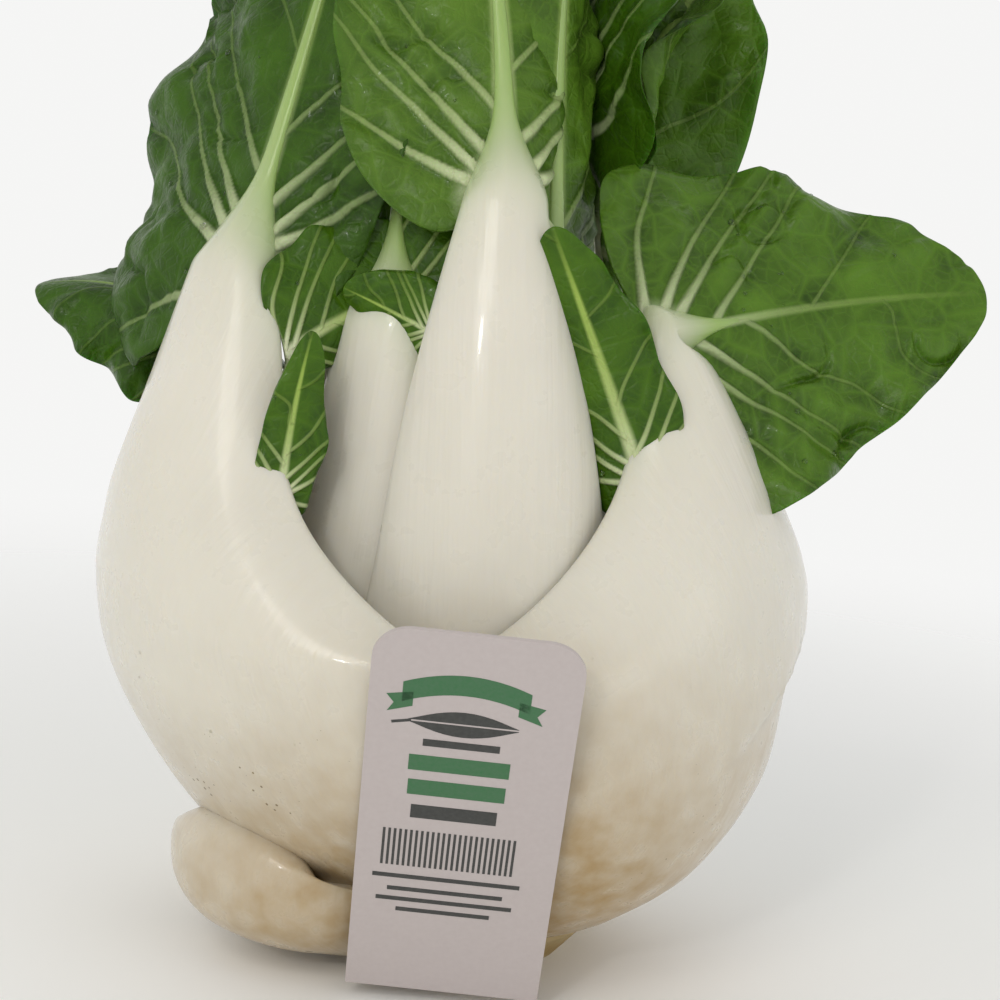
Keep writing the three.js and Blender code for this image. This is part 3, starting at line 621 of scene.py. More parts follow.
def grow_blade(name, material, rows=110, columns=110, puckers=1.5, slope=1.1, midrib=1.0):
    """Mesh of a blade: fleshy ribs at its foot that thin out into veins, and puckers between them."""
    leaf = leaves[name]
    seed = sum(map(ord, name))
    v, u = np.broadcast_arrays(np.linspace(0, 1, rows)[:, None], np.linspace(-1, 1, columns)[None, :])
    u = np.sign(u) * np.abs(u) ** 1.1
    scallop = 1 + 0.035 * humps(v * FULL_BLADE, np.sign(u) * 30, 9, seed)
    point, face, along, across = blade_point(leaf, v, u * scallop)
    step = 0.2
    size = min(leaf["blade"]["length"] / FULL_BLADE, 1.0)
    fleshy = 0.5 if "host" in leaf else 1.0
    order = vein_order(along, across, slope, size, seed)
    further = across + np.where(across < 0, -step, step)
    steep = np.hypot(
        vein_order(along + step, across, slope, size, seed) - order,
        vein_order(along, further, slope, size, seed) - order,
    ) / step
    away = np.abs(order - np.round(order)) / np.maximum(steep, 0.02)
    out = np.abs(across)
    from_neck = np.hypot(along, across)
    half_vein = 0.3 + 1.7 * fleshy * size * np.exp(-from_neck / (18 * size))
    core = np.clip(1 - (away / half_vein) ** 2, 0, 1)
    strength = 0.1 + 0.9 * np.minimum(1.35 * np.exp(-from_neck / (VEIN_REACH * size)), 1)
    rib_half = (0.6 + 1.5 * midrib * np.clip(1 - v / 0.85, 0, 1)) * size
    rib = np.clip(1.6 - out / rib_half, 0, 1) * np.clip((1.02 - v) / 0.3, 0, 1)
    # the ribs part from a fleshy palm round the neck
    palm = smooth_step(np.clip(1.6 - from_neck / (PALM_REACH * fleshy * size), 0, 1))
    rib = np.maximum(rib * np.clip(midrib + strength - 0.1, 0, 1), 0.9 * palm)
    root = 3.0 * np.exp(-from_neck / (ROOT_REACH * size))
    root_rib = 0.08 + root + 0.9 * np.exp(-from_neck / (RIB_REACH * size))
    root_rib = fleshy * size * np.maximum(root_rib * core ** 0.7, 2.2 * palm)
    if "host" not in leaf:
        # the ribs come out from under the flesh of the neck
        root_rib = root_rib * smooth_step(np.clip((out / neck_half(leaf, v) - 0.5) / 0.9, 0, 1))
    panel = 1 - np.exp(-(away / 3.0) ** 2)
    calm = np.clip((out - 3) / 8, 0, 1) * np.clip((from_neck - 8) / 16, 0, 1)
    pucker = panel * (0.9 + 0.9 * humps(along, across, PUCKER_SIZE, seed))
    pucker = pucker + 0.5 * humps(along, across, FINE_PUCKER_SIZE, seed + 1)
    fold = np.exp(-(humps(along, across, FOLD_SIZE, seed + 7) / 0.13) ** 2)
    pucker = pucker - FOLD_DEPTH * fold * np.clip(1.8 * humps(along, across, 15, seed + 8) + 0.3, 0, 1)
    margin = np.clip((np.abs(u) - MARGIN_START) / (1 - MARGIN_START), 0, 1)
    lift = puckers * calm * (pucker - 0.6) * (1 - 0.6 * margin)
    lift = lift + MARGIN_WAVE * margin * humps(along, across, 10, seed + 2)
    sheet = point + face * lift[..., None]
    thick = TISSUE_HALF * (1 - 0.75 * margin ** 2)
    over = sheet + face * (thick + root_rib)[..., None]
    points, faces = closed_sheet(over, sheet - face * thick[..., None])
    pale = np.exp(-from_neck / (PALE_REACH * size))
    # painted light and shade: the colour is lighter on the middles of the panels and the crests of the
    # puckers, and darker in the hollows by the veins
    values = {
        "order": order, "steep": np.maximum(steep, 0.02), "half_vein": half_vein, "strength": strength,
        "rib": rib, "margin": margin, "crown": np.clip(panel * 0.6 + 0.4 * pucker, 0, 1), "pale": pale,
    }
    attributes = {key: np.concatenate([grid.reshape(-1)] * 2) for key, grid in values.items()}
    rinsed = np.clip(0.3 + 1.5 * humps(along, across, 13, seed + 5), 0, 1) * (1 - margin)
    attributes["wet"] = np.concatenate([rinsed.reshape(-1), 0 * rinsed.reshape(-1)])
    attributes["leaf_at"] = np.concatenate([np.stack([along, across, 0 * along], -1).reshape(-1, 3)] * 2)
    add_piece(f"{name}_blade", points, faces, material, f"blade_{name}", attributes)


# Leaf blade: tissue 0.7 mm thick under a waxy skin. It gives mottled green with a broad wet sheen, pale
# veins, and a net of fine veinlets that meet every 2.5 mm. The crests of its puckers are painted light,
# and the hollows by its veins painted in shade.
def leaf_skin(name, deep, light, vein_colour):
    """The skin of a blade, from its deep and its light green and the colour of its veins."""
    material, tree = new_material(name)
    leaf_at = add_node(tree, "ShaderNodeAttribute", attribute_name="leaf_at")
    at = {
        key: add_node(tree, "ShaderNodeAttribute", attribute_name=key).outputs["Fac"]
        for key in ("order", "steep", "half_vein", "strength", "rib", "crown", "margin", "pale")
    }
    # a side vein lies where order is whole; the way to it is turned into millimetres by its steepness
    half_way = add_node(tree, "ShaderNodeMath", {0: at["order"]}, operation="ROUND")
    off = add_node(tree, "ShaderNodeMath", {0: at["order"], 1: half_way.outputs[0]}, operation="SUBTRACT")
    off = add_node(tree, "ShaderNodeMath", {0: off.outputs[0]}, operation="ABSOLUTE")
    away = add_node(tree, "ShaderNodeMath", {0: off.outputs[0], 1: at["steep"]}, operation="DIVIDE")
    away = add_node(tree, "ShaderNodeMath", {0: away.outputs[0], 1: at["half_vein"]}, operation="DIVIDE")
    line = add_node(tree, "ShaderNodeMapRange", {
        "Value": away.outputs[0], "From Min": 0.5, "From Max": 1.4, "To Min": 1.0, "To Max": 0.0},
        interpolation_type="SMOOTHSTEP")
    side_vein = add_node(tree, "ShaderNodeMath", {
        0: line.outputs[0], 1: at["strength"]}, operation="MULTIPLY")
    vein_at = add_node(tree, "ShaderNodeMath", {0: side_vein.outputs[0], 1: at["rib"]}, operation="MAXIMUM")
    mottle = add_node(tree, "ShaderNodeTexNoise", {
        "Vector": leaf_at.outputs["Vector"], "Scale": 0.07, "Detail": 5.0, "Roughness": 0.6})
    shade = add_node(tree, "ShaderNodeMath", {
        0: mottle.outputs["Fac"], 1: 1.3, 2: -0.3}, operation="MULTIPLY_ADD")
    # painted light and shade over a random mottle: light green on the crests of the puckers, deep green in
    # the hollows by the veins
    mottle_and_relief_light = add_node(tree, "ShaderNodeMath", {
        0: at["crown"], 1: 0.35, 2: shade.outputs[0]}, operation="MULTIPLY_ADD")
    green = add_node(tree, "ShaderNodeMix", {
        0: mottle_and_relief_light.outputs[0], 6: linear(deep), 7: linear(light)}, data_type="RGBA")
    net = add_node(tree, "ShaderNodeTexVoronoi", {
        "Vector": leaf_at.outputs["Vector"], "Scale": 0.38}, feature="DISTANCE_TO_EDGE")
    veinlets = add_node(tree, "ShaderNodeMapRange", {
        "Value": net.outputs["Distance"], "From Min": 0.0, "From Max": 0.14, "To Min": 0.3, "To Max": 0.0})
    quilt = add_node(tree, "ShaderNodeTexVoronoi", {
        "Vector": leaf_at.outputs["Vector"], "Scale": 0.11, "Randomness": 0.8}, feature="DISTANCE_TO_EDGE")
    seams = add_node(tree, "ShaderNodeMapRange", {
        "Value": quilt.outputs["Distance"], "From Min": 0.0, "From Max": 0.09,
        "To Min": 0.55, "To Max": 0.0})
    drawn = add_node(tree, "ShaderNodeMath", {
        0: veinlets.outputs[0], 1: seams.outputs[0]}, operation="MAXIMUM")
    netted = add_node(tree, "ShaderNodeMix", {
        0: drawn.outputs[0], 6: green.outputs[2], 7: linear(light)}, data_type="RGBA")
    vein_tone = add_node(tree, "ShaderNodeMix", {
        0: at["pale"], 6: linear(vein_colour), 7: linear("#d3d8b8")}, data_type="RGBA")
    veined = add_node(tree, "ShaderNodeMix", {
        0: vein_at.outputs[0], 6: netted.outputs[2], 7: vein_tone.outputs[2]}, data_type="RGBA")
    rim = add_node(tree, "ShaderNodeMath", {
        0: at["margin"], 1: 0.25}, operation="MULTIPLY")
    edged = add_node(tree, "ShaderNodeMix", {
        0: rim.outputs[0], 6: veined.outputs[2], 7: linear(deep)}, data_type="RGBA")
    fine = add_node(tree, "ShaderNodeTexNoise", {
        "Vector": leaf_at.outputs["Vector"], "Scale": 0.9, "Detail": 3.0})
    height = add_node(tree, "ShaderNodeMath", {
        0: drawn.outputs[0], 1: -1.6, 2: fine.outputs["Fac"]}, operation="MULTIPLY_ADD")
    ridged = add_node(tree, "ShaderNodeMath", {
        0: line.outputs[0], 1: 1.2, 2: height.outputs[0]}, operation="MULTIPLY_ADD")
    bump = add_node(tree, "ShaderNodeBump", {
        "Height": ridged.outputs[0], "Strength": 0.5, "Distance": 0.0004})
    gloss = add_node(tree, "ShaderNodeMapRange", {
        "Value": fine.outputs["Fac"], "From Min": 0.3, "From Max": 0.7, "To Min": 0.3, "To Max": 0.48})
    end_material(tree, add_node(tree, "ShaderNodeBsdfPrincipled", {
        "Base Color": edged.outputs[2], "Roughness": gloss.outputs[0], "Normal": bump.outputs[0],
        "IOR": 1.4, "Specular IOR Level": 0.25, "Subsurface Weight": 0.12,
        "Subsurface Radius": (0.4, 1.0, 0.2), "Subsurface Scale": 0.002,
        "Coat Weight": 0.08, "Coat Roughness": 0.1}))
    return material


middle_skin = leaf_skin("leaf_blade_middle_green", "#162d02", "#3b5f0a", "#76943a")
grow_blade("left", middle_skin)

# Right outer leaf
# The second outer stalk mirrors the first. Its blade, the largest and darkest, flops out to the right
# from a short midrib, and its outer lobe hangs back towards the butt.
leaves["right"] = {
    "azimuth": 64, "tone": "dark",
    "height": [7, 14, 26, 42, 60, 76, 92, 112, 136],
    "radius": [31, 46, 60.5, 69.5, 73, 73.5, 71, 62, 48],
    "turn": [0, 0, 0, 0, 0, -2, -5, -9, -14],
    "half": [32, 46, 64, 80, 86, 98, 70, 26, 8],
    "wrap": [1, 1.1, 1.2, 1.3, 1.4, 1.45, 1.35, 1.1, 1.1],
    "roll": [0, 0, 0, 0, 0, 0, 0, 10, 30],
    "middle": STALK_MIDDLE,
    "blade": {
        "length": 74, "left": 38, "right": 41, "full": 0.36,
        "turn": 95, "bend": 5, "sway": 15, "twist": 10,
        "curl_left": [0.3, 0.3, 0.2, 0.1], "curl_right": [0.3, 0.1, 0.1, 0],
        "lobe_left": [0, 0.05, 0.05, 0], "lobe_right": [0, 0.1, 0.15, 0.15],
        "ruffle": [3, 2.5, 0],
    },
}

dark_skin = leaf_skin("leaf_blade_dark_green", "#182f03", "#567a20", "#7f9a46")
grow_stalk("right", stain=1.0, speck=0.5, rib_reach=0.25, tuck=9.0, crease=2.5, stain_and_shade_top=82.0)
grow_blade("right", dark_skin, rows=190, columns=200, slope=0.8, midrib=0.3)

# Back leaf
# It closes the bulb behind, and its blade arches over the head.
INNER_WRAP = [0.9, 1, 1, 1, 1, 1, 1.1, 1.1, 1.1]
leaves["back"] = {
    "azimuth": 182, "tone": "dark",
    "height": [10, 22, 38, 56, 74, 92, 112, 136, 158],
    "radius": [36, 50, 61, 66, 66, 62, 55, 47, 40],
    "half": [32, 46, 54, 54, 44, 32, 24, 18, 9],
    "wrap": INNER_WRAP,
    "middle": STALK_MIDDLE,
    "blade": {
        "length": 118, "left": 56, "right": 56, "lift": 5, "bend": 60,
        "curl_left": [0.1] * 4, "curl_right": [0.1] * 4,
        "ruffle": [5, 3, 0.6],
    },
}

grow_stalk("back", stain=0.6)
grow_blade("back", dark_skin, columns=150)

# Back left leaf
# A short leaf behind the left stalk, whose blade falls outwards as a drooping lobe.
leaves["back_left"] = {
    "azimuth": -124, "tone": "dark",
    "height": [8, 20, 36, 53, 68, 83, 97, 108, 118],
    "radius": [31, 42, 52, 56, 57, 57, 57, 57, 57],
    "turn": [0, 0, 0, 0, 2, 6, 12, 17, 20],
    "half": [26, 36, 42, 42, 36, 28, 21, 15, 9],
    "wrap": INNER_WRAP,
    "middle": STALK_MIDDLE,
    "blade": {
        "length": 56, "left": 27, "right": 25, "lift": 45, "bend": 60,
        "curl_left": [-0.6] * 4, "curl_right": [-0.9, -1.3, -1.4, -1.4],
        "ruffle": [3, 3, 0],
    },
}

grow_stalk("back_left", stain=0.6)
grow_blade("back_left", middle_skin)

# Back right leaf
# It stands behind the right stalk, and its blade spreads wide and upright.
leaves["back_right"] = {
    "azimuth": 136, "tone": "dark",
    "height": [8, 20, 36, 54, 70, 86, 102, 124, 146],
    "radius": [30, 42, 51, 55, 55, 53, 50, 46, 42],
    "half": [26, 36, 42, 42, 36, 28, 22, 17, 9],
    "wrap": INNER_WRAP,
    "middle": STALK_MIDDLE,
    "blade": {
        "length": 104, "left": 14, "right": 42, "bend": 75, "sway": -16,
        "curl_left": [1.2] * 4, "curl_right": [-0.2] * 4,
        "ruffle": [5, 3, 0.3],
    },
}

grow_stalk("back_right", stain=0.6)
grow_blade("back_right", dark_skin)

# Centre leaf
# It stands in front between the two outer stalks. Its broad white stalk narrows to a creased neck, and
# pale green veins fan out of it into a light green blade.
leaves["centre"] = {
    "azimuth": 4, "tone": "pale",
    "height": [6, 20, 40, 60, 80, 100, 120, 142, 161],
    "radius": [30, 40, 50, 54, 54, 52, 48, 43, 37],
    "turn": [4, 4, 4, 4, 4, 3, 2, 0, -1],
    "half": [26, 34, 36, 33, 28, 25, 22, 16, 10],
    "wrap": [0.8, 0.9, 0.9, 0.85, 0.9, 0.9, 1, 1.1, 1.1],
    "middle": [8, 9, 10, 10, 9, 9, 9, 8, 8],
    "blade": {
        "length": 100, "left": 32, "right": 12, "lift": -5, "bend": 10, "sway": -16,
        "curl_left": [0.1, 0, -0.1, 0], "curl_right": [1.2] * 4,
        "lobe_left": [0, 0.06, 0.08, 0.06],
        "ruffle": [3, 3, 0],
    },
}

pale_skin = leaf_skin("leaf_blade_pale_green", "#27450c", "#597a24", "#9ab25e")
grow_stalk("centre", stain=0.9)
grow_blade("centre", pale_skin)

# Inner leaves
# Younger leaves stand inside the outer ones: thinner stalks and softer, more curled blades, which are
# brighter green because they have had less light.
INNER_MIDDLE = [7, 8, 8, 8, 8, 8, 8, 7, 6]
leaves["inner_left"] = {
    "azimuth": -40, "tone": "bright",
    "height": [8, 22, 38, 54, 70, 86, 102, 118, 134],
    "radius": [24, 34, 42, 46, 47, 46, 44, 42, 40],
    "turn": [4] * 9,
    "half": [20, 26, 27, 27, 26, 24, 21, 18, 12],
    "wrap": INNER_WRAP,
    "middle": [7, 8, 8, 8, 8, 8, 8, 8, 7],
    # the blade leans back clear of the centre blade
    "lean_back": 7,
    "blade": {
        "length": 50, "left": 16, "right": 13, "bend": 8, "sway": -16,
        "curl_left": [0.5] * 4, "curl_right": [0.6] * 4,
        "ruffle": [2, 3, 0],
    },
}
leaves["inner_right"] = {
    "azimuth": 36, "tone": "dark",
    "height": [10, 26, 42, 58, 74, 90, 105, 120, 132],
    "radius": [22, 30, 36, 38, 38, 37, 35, 32, 30],
    "half": [18, 24, 26, 26, 24, 22, 18, 14, 8],
    "wrap": INNER_WRAP,
    "middle": INNER_MIDDLE,
    "blade": {
        "length": 105, "left": 20, "right": 20, "bend": 5, "sway": 4,
        "curl_left": [1.2] * 4, "curl_right": [1.2] * 4,
        "ruffle": [3, 3, 0],
    },
}
leaves["inner_back"] = {
    "azimuth": 140, "tone": "middle",
    "height": [12, 28, 46, 64, 82, 104, 126, 150, 172],
    "radius": [20, 28, 34, 36, 36, 34, 31, 27, 23],
    "half": [18, 24, 26, 26, 24, 22, 18, 14, 8],
    "wrap": INNER_WRAP,
    "middle": INNER_MIDDLE,
    "blade": {
        "length": 90, "left": 34, "right": 34, "bend": 40,
        "curl_left": [0.5] * 4, "curl_right": [0.5] * 4,
        "ruffle": [4, 3, 0],
    },
}
leaves["inner_back_left"] = {
    "azimuth": -92, "tone": "bright",
    "height": [12, 28, 46, 64, 82, 100, 118, 136, 150],
    "radius": [22, 30, 36, 38, 39, 39, 38, 38, 38],
    "half": [18, 24, 26, 26, 24, 22, 18, 14, 8],
    "wrap": INNER_WRAP,
    "roll": [0, 0, 0, 0, 0, 0, -10, -20, -40],
    "middle": INNER_MIDDLE,
    "blade": {
        "length": 62, "left": 26, "right": 28, "lift": 10, "bend": 10, "sway": 10,
        "curl_left": [0.5] * 4, "curl_right": [0.5] * 4,
        "ruffle": [3, 3, 0],
    },
}
leaves["heart_front"] = {
    "azimuth": -20, "tone": "bright",
    "height": [30, 50, 70, 90, 110, 130, 148, 164, 178],
    "radius": [8, 14, 17, 18, 18, 17, 16, 14, 13],
    "half": [8, 12, 14, 14, 13, 12, 10, 8, 5],
    "wrap": [0.9] * 9,
    "middle": [5, 6, 6, 6, 6, 6, 5, 5, 4],
    "edge": [2] * 9,
    "blade": {
        "length": 52, "left": 15, "right": 15, "bend": 20,
        "curl_left": [0.9] * 4, "curl_right": [0.9] * 4,
        "ruffle": [2, 3, 0],
    },
}
leaves["heart_back"] = {
    "azimuth": 165, "tone": "bright",
    "height": [30, 50, 70, 90, 110, 130, 148, 166, 182],
    "radius": [6, 11, 14, 15, 15, 14, 13, 12, 11],
    "half": [8, 12, 14, 14, 13, 12, 10, 8, 5],
    "wrap": [0.9] * 9,
    "middle": [5, 6, 6, 6, 6, 6, 5, 5, 4],
    "edge": [2] * 9,
    "blade": {
        "length": 54, "left": 16, "right": 16, "bend": 12,
        "curl_left": [1] * 4, "curl_right": [1] * 4,
        "ruffle": [2, 3, 0],
    },
}

bright_skin = leaf_skin("leaf_blade_bright_green", "#1d3c03", "#476b0c", "#90aa46")
for name, skin in (
    ("inner_left", bright_skin), ("inner_right", dark_skin), ("inner_back", middle_skin),
    ("inner_back_left", bright_skin), ("heart_front", bright_skin), ("heart_back", bright_skin),
):
    grow_stalk(name, columns=32)
    grow_blade(name, skin, rows=80, columns=90)

# Trimmed leaf base
# What is left of a leaf that was cut off low on the left: a thick rounded lump of white flesh.
leaves["stub"] = {
    "azimuth": -45,
    "height": [2, 6, 10, 15, 21, 27, 31, 34, 35],
    "radius": [42, 51, 57, 60.5, 61.5, 60.5, 58, 53, 47],
    "half": [17, 24, 30, 33, 34, 33, 30, 25, 16],
    "wrap": [0.9] * 9,
    "roll": [-9] * 9,
    "middle": [16, 18, 19, 20, 20, 19, 16, 12, 7],
    "edge": [6] * 9,
}

grow_stalk("stub", columns=40, stain=0.8)

# Small lobes
# Leaflets that grow straight from the edges of the stalks, below the blades, and show in the gaps.
leaves["left_lobe"] = {
    "host": "left", "at": 0.9, "across": 1, "neck": 4, "tone": "bright",
    "blade": {
        "length": 42, "left": 18, "right": 8, "turn": 36, "bend": 8, "sway": 12,
        "curl_left": [0.4] * 4, "curl_right": [0.8] * 4,
        "lobe_left": [0, -0.03, -0.05, -0.04],
        "ruffle": [1.5, 3, 0],
    },
}
leaves["right_fold"] = {
    "host": "right", "at": 0.89, "across": -0.9, "neck": 4, "tone": "middle",
    "blade": {
        "length": 52, "left": 13, "right": 11, "turn": 6, "bend": 10,
        "curl_left": [0.6] * 4, "curl_right": [0.6] * 4,
        "ruffle": [1.5, 3, 0],
    },
}
leaves["centre_lobe"] = {
    "host": "centre", "at": 0.83, "across": -0.95, "neck": 3, "tone": "bright",
    "blade": {
        "length": 20, "left": 7, "right": 9, "turn": -55, "lift": 30, "bend": 10,
        "curl_left": [0.4] * 4, "curl_right": [0.4] * 4,
        "ruffle": [1, 2, 0],
    },
}
leaves["left_wing"] = {
    "host": "left", "at": 0.76, "across": 1, "neck": 3, "tone": "bright",
    "blade": {
        "length": 32, "left": 5, "right": 7, "turn": -15, "sway": 8,
        "curl_left": [0.3] * 4, "curl_right": [0.3] * 4,
        "ruffle": [1, 2, 0],
    },
}

for name in ("left_lobe", "right_fold", "centre_lobe", "left_wing"):
    grow_blade(name, bright_skin, rows=80, columns=70, puckers=0.5)

# Butt
# The short hard stem that all stalks grow from, cut flat below with a knife. The cut has dried to tan,
# with rings where the leaf bases meet it.
cut_stem, tree = new_material("dried_cut_stem")
place = add_node(tree, "ShaderNodeTexCoord")
rings = add_node(tree, "ShaderNodeTexWave", {
    "Vector": place.outputs["Object"], "Scale": 55.0, "Distortion": 5.0, "Detail": 3.0,
    "Detail Scale": 2.0}, wave_type="RINGS", rings_direction="Z")
pith = add_node(tree, "ShaderNodeTexNoise", {
    "Vector": place.outputs["Object"], "Scale": 220.0, "Detail": 4.0})
ringed = add_node(tree, "ShaderNodeMix", {
    0: rings.outputs["Fac"], 6: linear("#c9b98f"), 7: linear("#ad9560")}, data_type="RGBA")
dried = add_node(tree, "ShaderNodeMix", {
    0: pith.outputs["Fac"], 6: ringed.outputs[2], 7: linear("#8f7442")}, data_type="RGBA")
bump = add_node(tree, "ShaderNodeBump", {
    "Height": pith.outputs["Fac"], "Strength": 0.6, "Distance": 0.0006})
end_material(tree, add_node(tree, "ShaderNodeBsdfPrincipled", {
    "Base Color": dried.outputs[2], "Roughness": 0.7, "Normal": bump.outputs[0]}))
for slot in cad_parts["butt"].material_slots:
    slot.material = cut_stem

# Tag
# A card tag with rounded upper corners, laid against the wet front of the head. It is printed with
# plain generic shapes in green and dark ink.
tag_card, tree = new_material("coated_tag_card")
place = add_node(tree, "ShaderNodeTexCoord")
fibres = add_node(tree, "ShaderNodeTexNoise", {
    "Vector": place.outputs["Object"], "Scale": 900.0, "Detail": 2.0})
card_tone = add_node(tree, "ShaderNodeMix", {
    0: fibres.outputs["Fac"], 6: linear("#bfb6b4"), 7: linear("#b7adab")}, data_type="RGBA")
end_material(tree, add_node(tree, "ShaderNodeBsdfPrincipled", {
    "Base Color": card_tone.outputs[2], "Roughness": 0.45}))
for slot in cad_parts["tag"].material_slots:
    slot.material = tag_card


# Tag print
# Flat ink 0.05 mm thick: a plain arched band, a leaf motif, bars, stripes and ruled lines. Positions
# are in millimetres on the card, across from its middle and up from its foot.
TAG_THICKNESS = 0.8
INK_THICKNESS = 0.05


def flat_ink(name, colour, shapes):
    """One piece of ink from outlines on the card, each a list of points in counter-clockwise order."""
    ink, tree = new_material(name)
    wear = add_node(tree, "ShaderNodeTexNoise", {
        "Vector": add_node(tree, "ShaderNodeTexCoord").outputs["Object"], "Scale": 1500.0})
    faded = add_node(tree, "ShaderNodeMath", {0: wear.outputs["Fac"], 1: 0.3}, operation="MULTIPLY")
    tone = add_node(tree, "ShaderNodeMix", {
        0: faded.outputs[0], 6: linear(colour), 7: linear("#6d6f6c")}, data_type="RGBA")
    end_material(tree, add_node(tree, "ShaderNodeBsdfPrincipled", {
        "Base Color": tone.outputs[2], "Roughness": 0.4}))
    points, faces = [], []
    for outline in shapes:
        first, count = len(points), len(outline)
        for proud in (0.0, INK_THICKNESS):
            for x, y in outline:
                on_card = TAG_FOOT + x * tag_right + y * tag_up
                points.append(on_card + tag_front * (TAG_THICKNESS + proud))
        faces.append([first + i for i in reversed(range(count))])
        faces.append([first + count + i for i in range(count)])
        for i in range(count):
            k = (i + 1) % count
            faces.append([first + i, first + k, first + count + k, first + count + i])
    mesh = bpy.data.meshes.new(name)
    mesh.from_pydata([tuple(point / 1000) for point in points], [], faces)
    mesh.materials.append(ink)
    piece = add_object(name, mesh)
    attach(piece, "root")


def bar(middle, y, width, height):
    """An upright rectangle."""
    return [
        (middle - width / 2, y - height / 2), (middle + width / 2, y - height / 2),
        (middle + width / 2, y + height / 2), (middle - width / 2, y + height / 2),
    ]


def stroke(a, b, width):
    """A straight line of ink from a to b."""
    way = Vector((b[0] - a[0], b[1] - a[1])).normalized() * (width / 2)
    return [(a[0] + way.y, a[1] - way.x), (b[0] + way.y, b[1] - way.x),
            (b[0] - way.y, b[1] + way.x), (a[0] - way.y, a[1] + way.x)]


def arched_band(middle, y, half_width, height, rise):
    """A band that arches up by rise at its middle."""
    steps = [2 * i / 16 - 1 for i in range(17)]
    low = [(middle + half_width * s, y + rise * (1 - s * s)) for s in steps]
    return low + [(x, top + height) for x, top in reversed(low)]


def leaf_halves(middle, y, half_length, half_width):
    """Both halves of a pointed leaf that lies flat, with a bare line for its midrib."""
    halves = []
    for hand in (1, -1):
        edge = []
        for i in range(13):
            s = 2 * i / 12 - 1
            edge.append((middle + half_length * s, y + hand * (0.25 + half_width * (1 - s * s) ** 1.2)))
        base = [(middle - half_length, y + hand * 0.2), (middle + half_length, y + hand * 0.2)]
        halves.append(base + edge[::-1] if hand > 0 else base[::-1] + edge)
    return halves


flat_ink("green_tag_ink", "#2c6b3c", [
    arched_band(-1.5, 71.0, 11.5, 4.4, 2.6),
    [(-15.5, 68.6), (-11.0, 70.2), (-11.0, 73.4), (-15.8, 72.4), (-14.4, 70.6)],
    [(12.5, 68.6), (11.4, 70.6), (12.8, 72.4), (8.0, 73.4), (8.0, 70.2)],
    bar(-1.5, 57.4, 18.5, 3.6),
    bar(-1.5, 51.6, 18.0, 3.6),
])
flat_ink("dark_tag_ink", "#2a2b29",
    leaf_halves(-1.5, 67.0, 10.0, 2.6)
    + [stroke((-14.5, 66.2), (-11.0, 67.0), 0.6)]
    + [bar(-1.5, 62.2, 14.0, 1.6), bar(-1.5, 45.8, 16.0, 3.2)]
    + [bar(-14.0 + 1.02 * i, 36.6, 0.5, 9.0) for i in range(25)]
    + [bar(-1.5, y, width, 1.0) for y, width in ((29.4, 28.0), (26.2, 22.0), (23.6, 26.0), (21.0, 18.0))])

# Water drops
# The head has been rinsed: drops of clear water 0.5 to 2 mm wide stand on the blades, and finer ones
# on the two outer stalks. They sit proud of the skin, flattened by their weight.
SMALLEST_DROP = 0.00022
LARGEST_DROP = 0.0009
LARGEST_FINE_DROP = 0.0004
DROP_FLATNESS = 0.55
drop_water, tree = new_material("clear_water")
end_material(tree, add_node(tree, "ShaderNodeBsdfPrincipled", {
    "Base Color": linear("#ffffff"), "Roughness": 0.02, "IOR": 1.333, "Transmission Weight": 1.0}))

drops_tree = bpy.data.node_groups.new("scattered_drops", "GeometryNodeTree")
sockets = {}
for name, kind, in_out, default in (
    ("Geometry", "NodeSocketGeometry", "INPUT", None), ("Density", "NodeSocketFloat", "INPUT", 9000.0),
    ("Smallest", "NodeSocketFloat", "INPUT", SMALLEST_DROP),
    ("Largest", "NodeSocketFloat", "INPUT", LARGEST_DROP),
    ("Seed", "NodeSocketInt", "INPUT", 1), ("Material", "NodeSocketMaterial", "INPUT", None),
    ("Geometry", "NodeSocketGeometry", "OUTPUT", None),
):
    socket = drops_tree.interface.new_socket(name, in_out=in_out, socket_type=kind)
    if default is not None:
        socket.default_value = default
    if in_out == "INPUT":
        sockets[name] = socket.identifier
given = add_node(drops_tree, "NodeGroupInput")
wet_at = add_node(drops_tree, "GeometryNodeInputNamedAttribute", {"Name": "wet"}, data_type="FLOAT")
density = add_node(drops_tree, "ShaderNodeMath", {
    0: wet_at.outputs["Attribute"], 1: given.outputs["Density"]}, operation="MULTIPLY")
spots = add_node(drops_tree, "GeometryNodeDistributePointsOnFaces", {
    "Mesh": given.outputs["Geometry"], "Density": density.outputs[0], "Seed": given.outputs["Seed"]})
chance = add_node(drops_tree, "FunctionNodeRandomValue", {
    "Seed": given.outputs["Seed"]}, data_type="FLOAT")
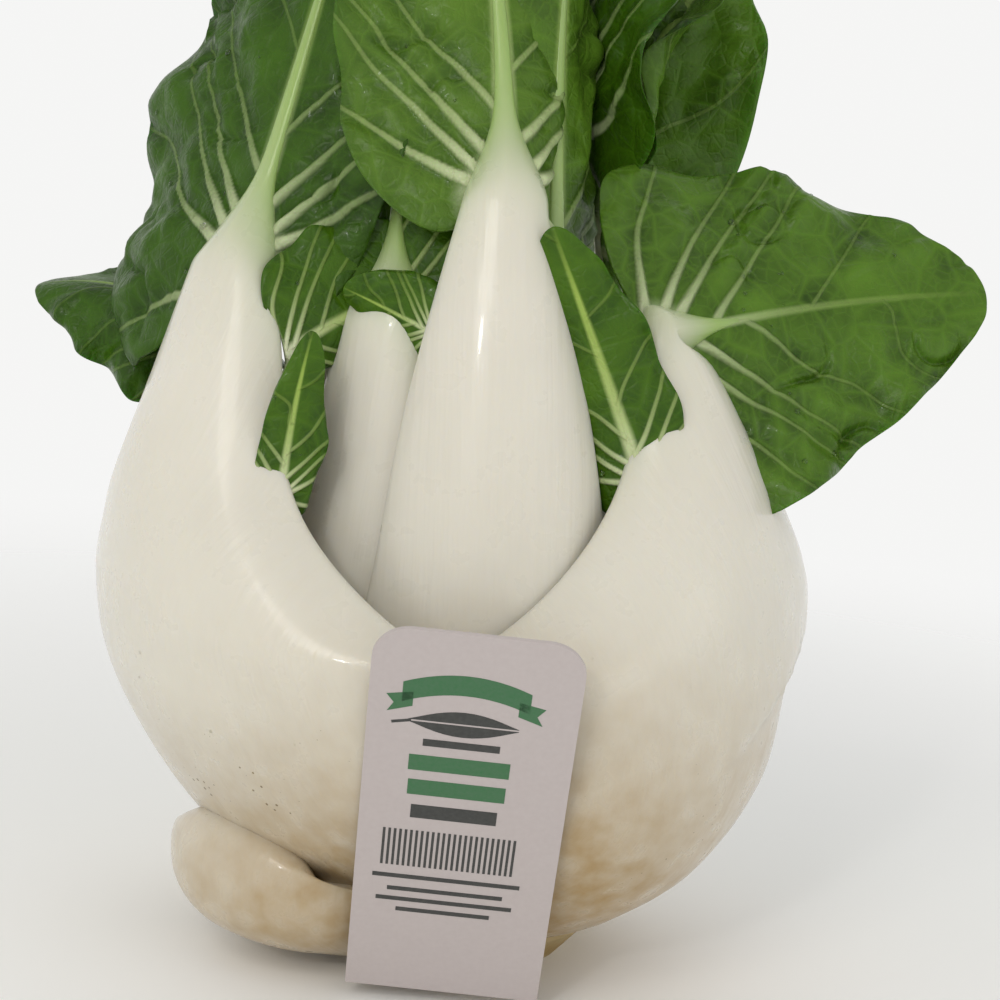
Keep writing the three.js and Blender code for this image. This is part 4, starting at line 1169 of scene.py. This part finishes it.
# most drops are small
few_large = add_node(drops_tree, "ShaderNodeMath", {0: chance.outputs[1], 1: 2.5}, operation="POWER")
radius = add_node(drops_tree, "ShaderNodeMapRange", {
    "Value": few_large.outputs[0],
    "To Min": given.outputs["Smallest"], "To Max": given.outputs["Largest"]})
flat = add_node(drops_tree, "ShaderNodeMath", {
    0: radius.outputs[0], 1: DROP_FLATNESS}, operation="MULTIPLY")
scale = add_node(drops_tree, "ShaderNodeCombineXYZ", {
    "X": radius.outputs[0], "Y": radius.outputs[0], "Z": flat.outputs[0]})
bead = add_node(drops_tree, "GeometryNodeMeshIcoSphere", {"Radius": 1.0, "Subdivisions": 2})
beads = add_node(drops_tree, "GeometryNodeInstanceOnPoints", {
    "Points": spots.outputs["Points"], "Instance": bead.outputs["Mesh"],
    "Rotation": spots.outputs["Rotation"], "Scale": scale.outputs[0]})
real = add_node(drops_tree, "GeometryNodeRealizeInstances", {"Geometry": beads.outputs[0]})
smooth = add_node(drops_tree, "GeometryNodeSetShadeSmooth", {"Geometry": real.outputs[0]})
finished = add_node(drops_tree, "GeometryNodeSetMaterial", {
    "Geometry": smooth.outputs[0], "Material": given.outputs["Material"]})
add_node(drops_tree, "NodeGroupOutput", {"Geometry": finished.outputs[0]})


def scatter_drops(carrier_name, density, seed, largest=LARGEST_DROP):
    """Drops on the wet part of a piece, as a plain mesh of their own."""
    carrier = bpy.data.objects[carrier_name]
    scattered = add_object("scattered", carrier.data.copy())
    modifier = scattered.modifiers.new("drops", "NODES")
    modifier.node_group = drops_tree
    modifier[sockets["Density"]] = density
    modifier[sockets["Largest"]] = largest
    modifier[sockets["Seed"]] = seed
    modifier[sockets["Material"]] = drop_water
    evaluated = scattered.evaluated_get(bpy.context.evaluated_depsgraph_get())
    mesh = bpy.data.meshes.new_from_object(evaluated)
    bpy.data.objects.remove(scattered)
    piece = add_object(f"{carrier.name}_drops", mesh)
    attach(piece, "root")


for name, density, seed in (
    ("right_blade", 16000, 3), ("left_blade", 9000, 4), ("left_lobe_blade", 9000, 5),
    ("centre_blade", 6000, 6), ("centre_lobe_blade", 20000, 7), ("inner_back_left_blade", 12000, 8),
    ("back_left_blade", 12000, 9), ("left_wing_blade", 12000, 10), ("right_fold_blade", 9000, 11),
    ("inner_left_blade", 12000, 12),
):
    scatter_drops(name, density, seed)
scatter_drops("left_stalk", 6000, 13, LARGEST_FINE_DROP)
scatter_drops("right_stalk", 20000, 14, LARGEST_FINE_DROP)
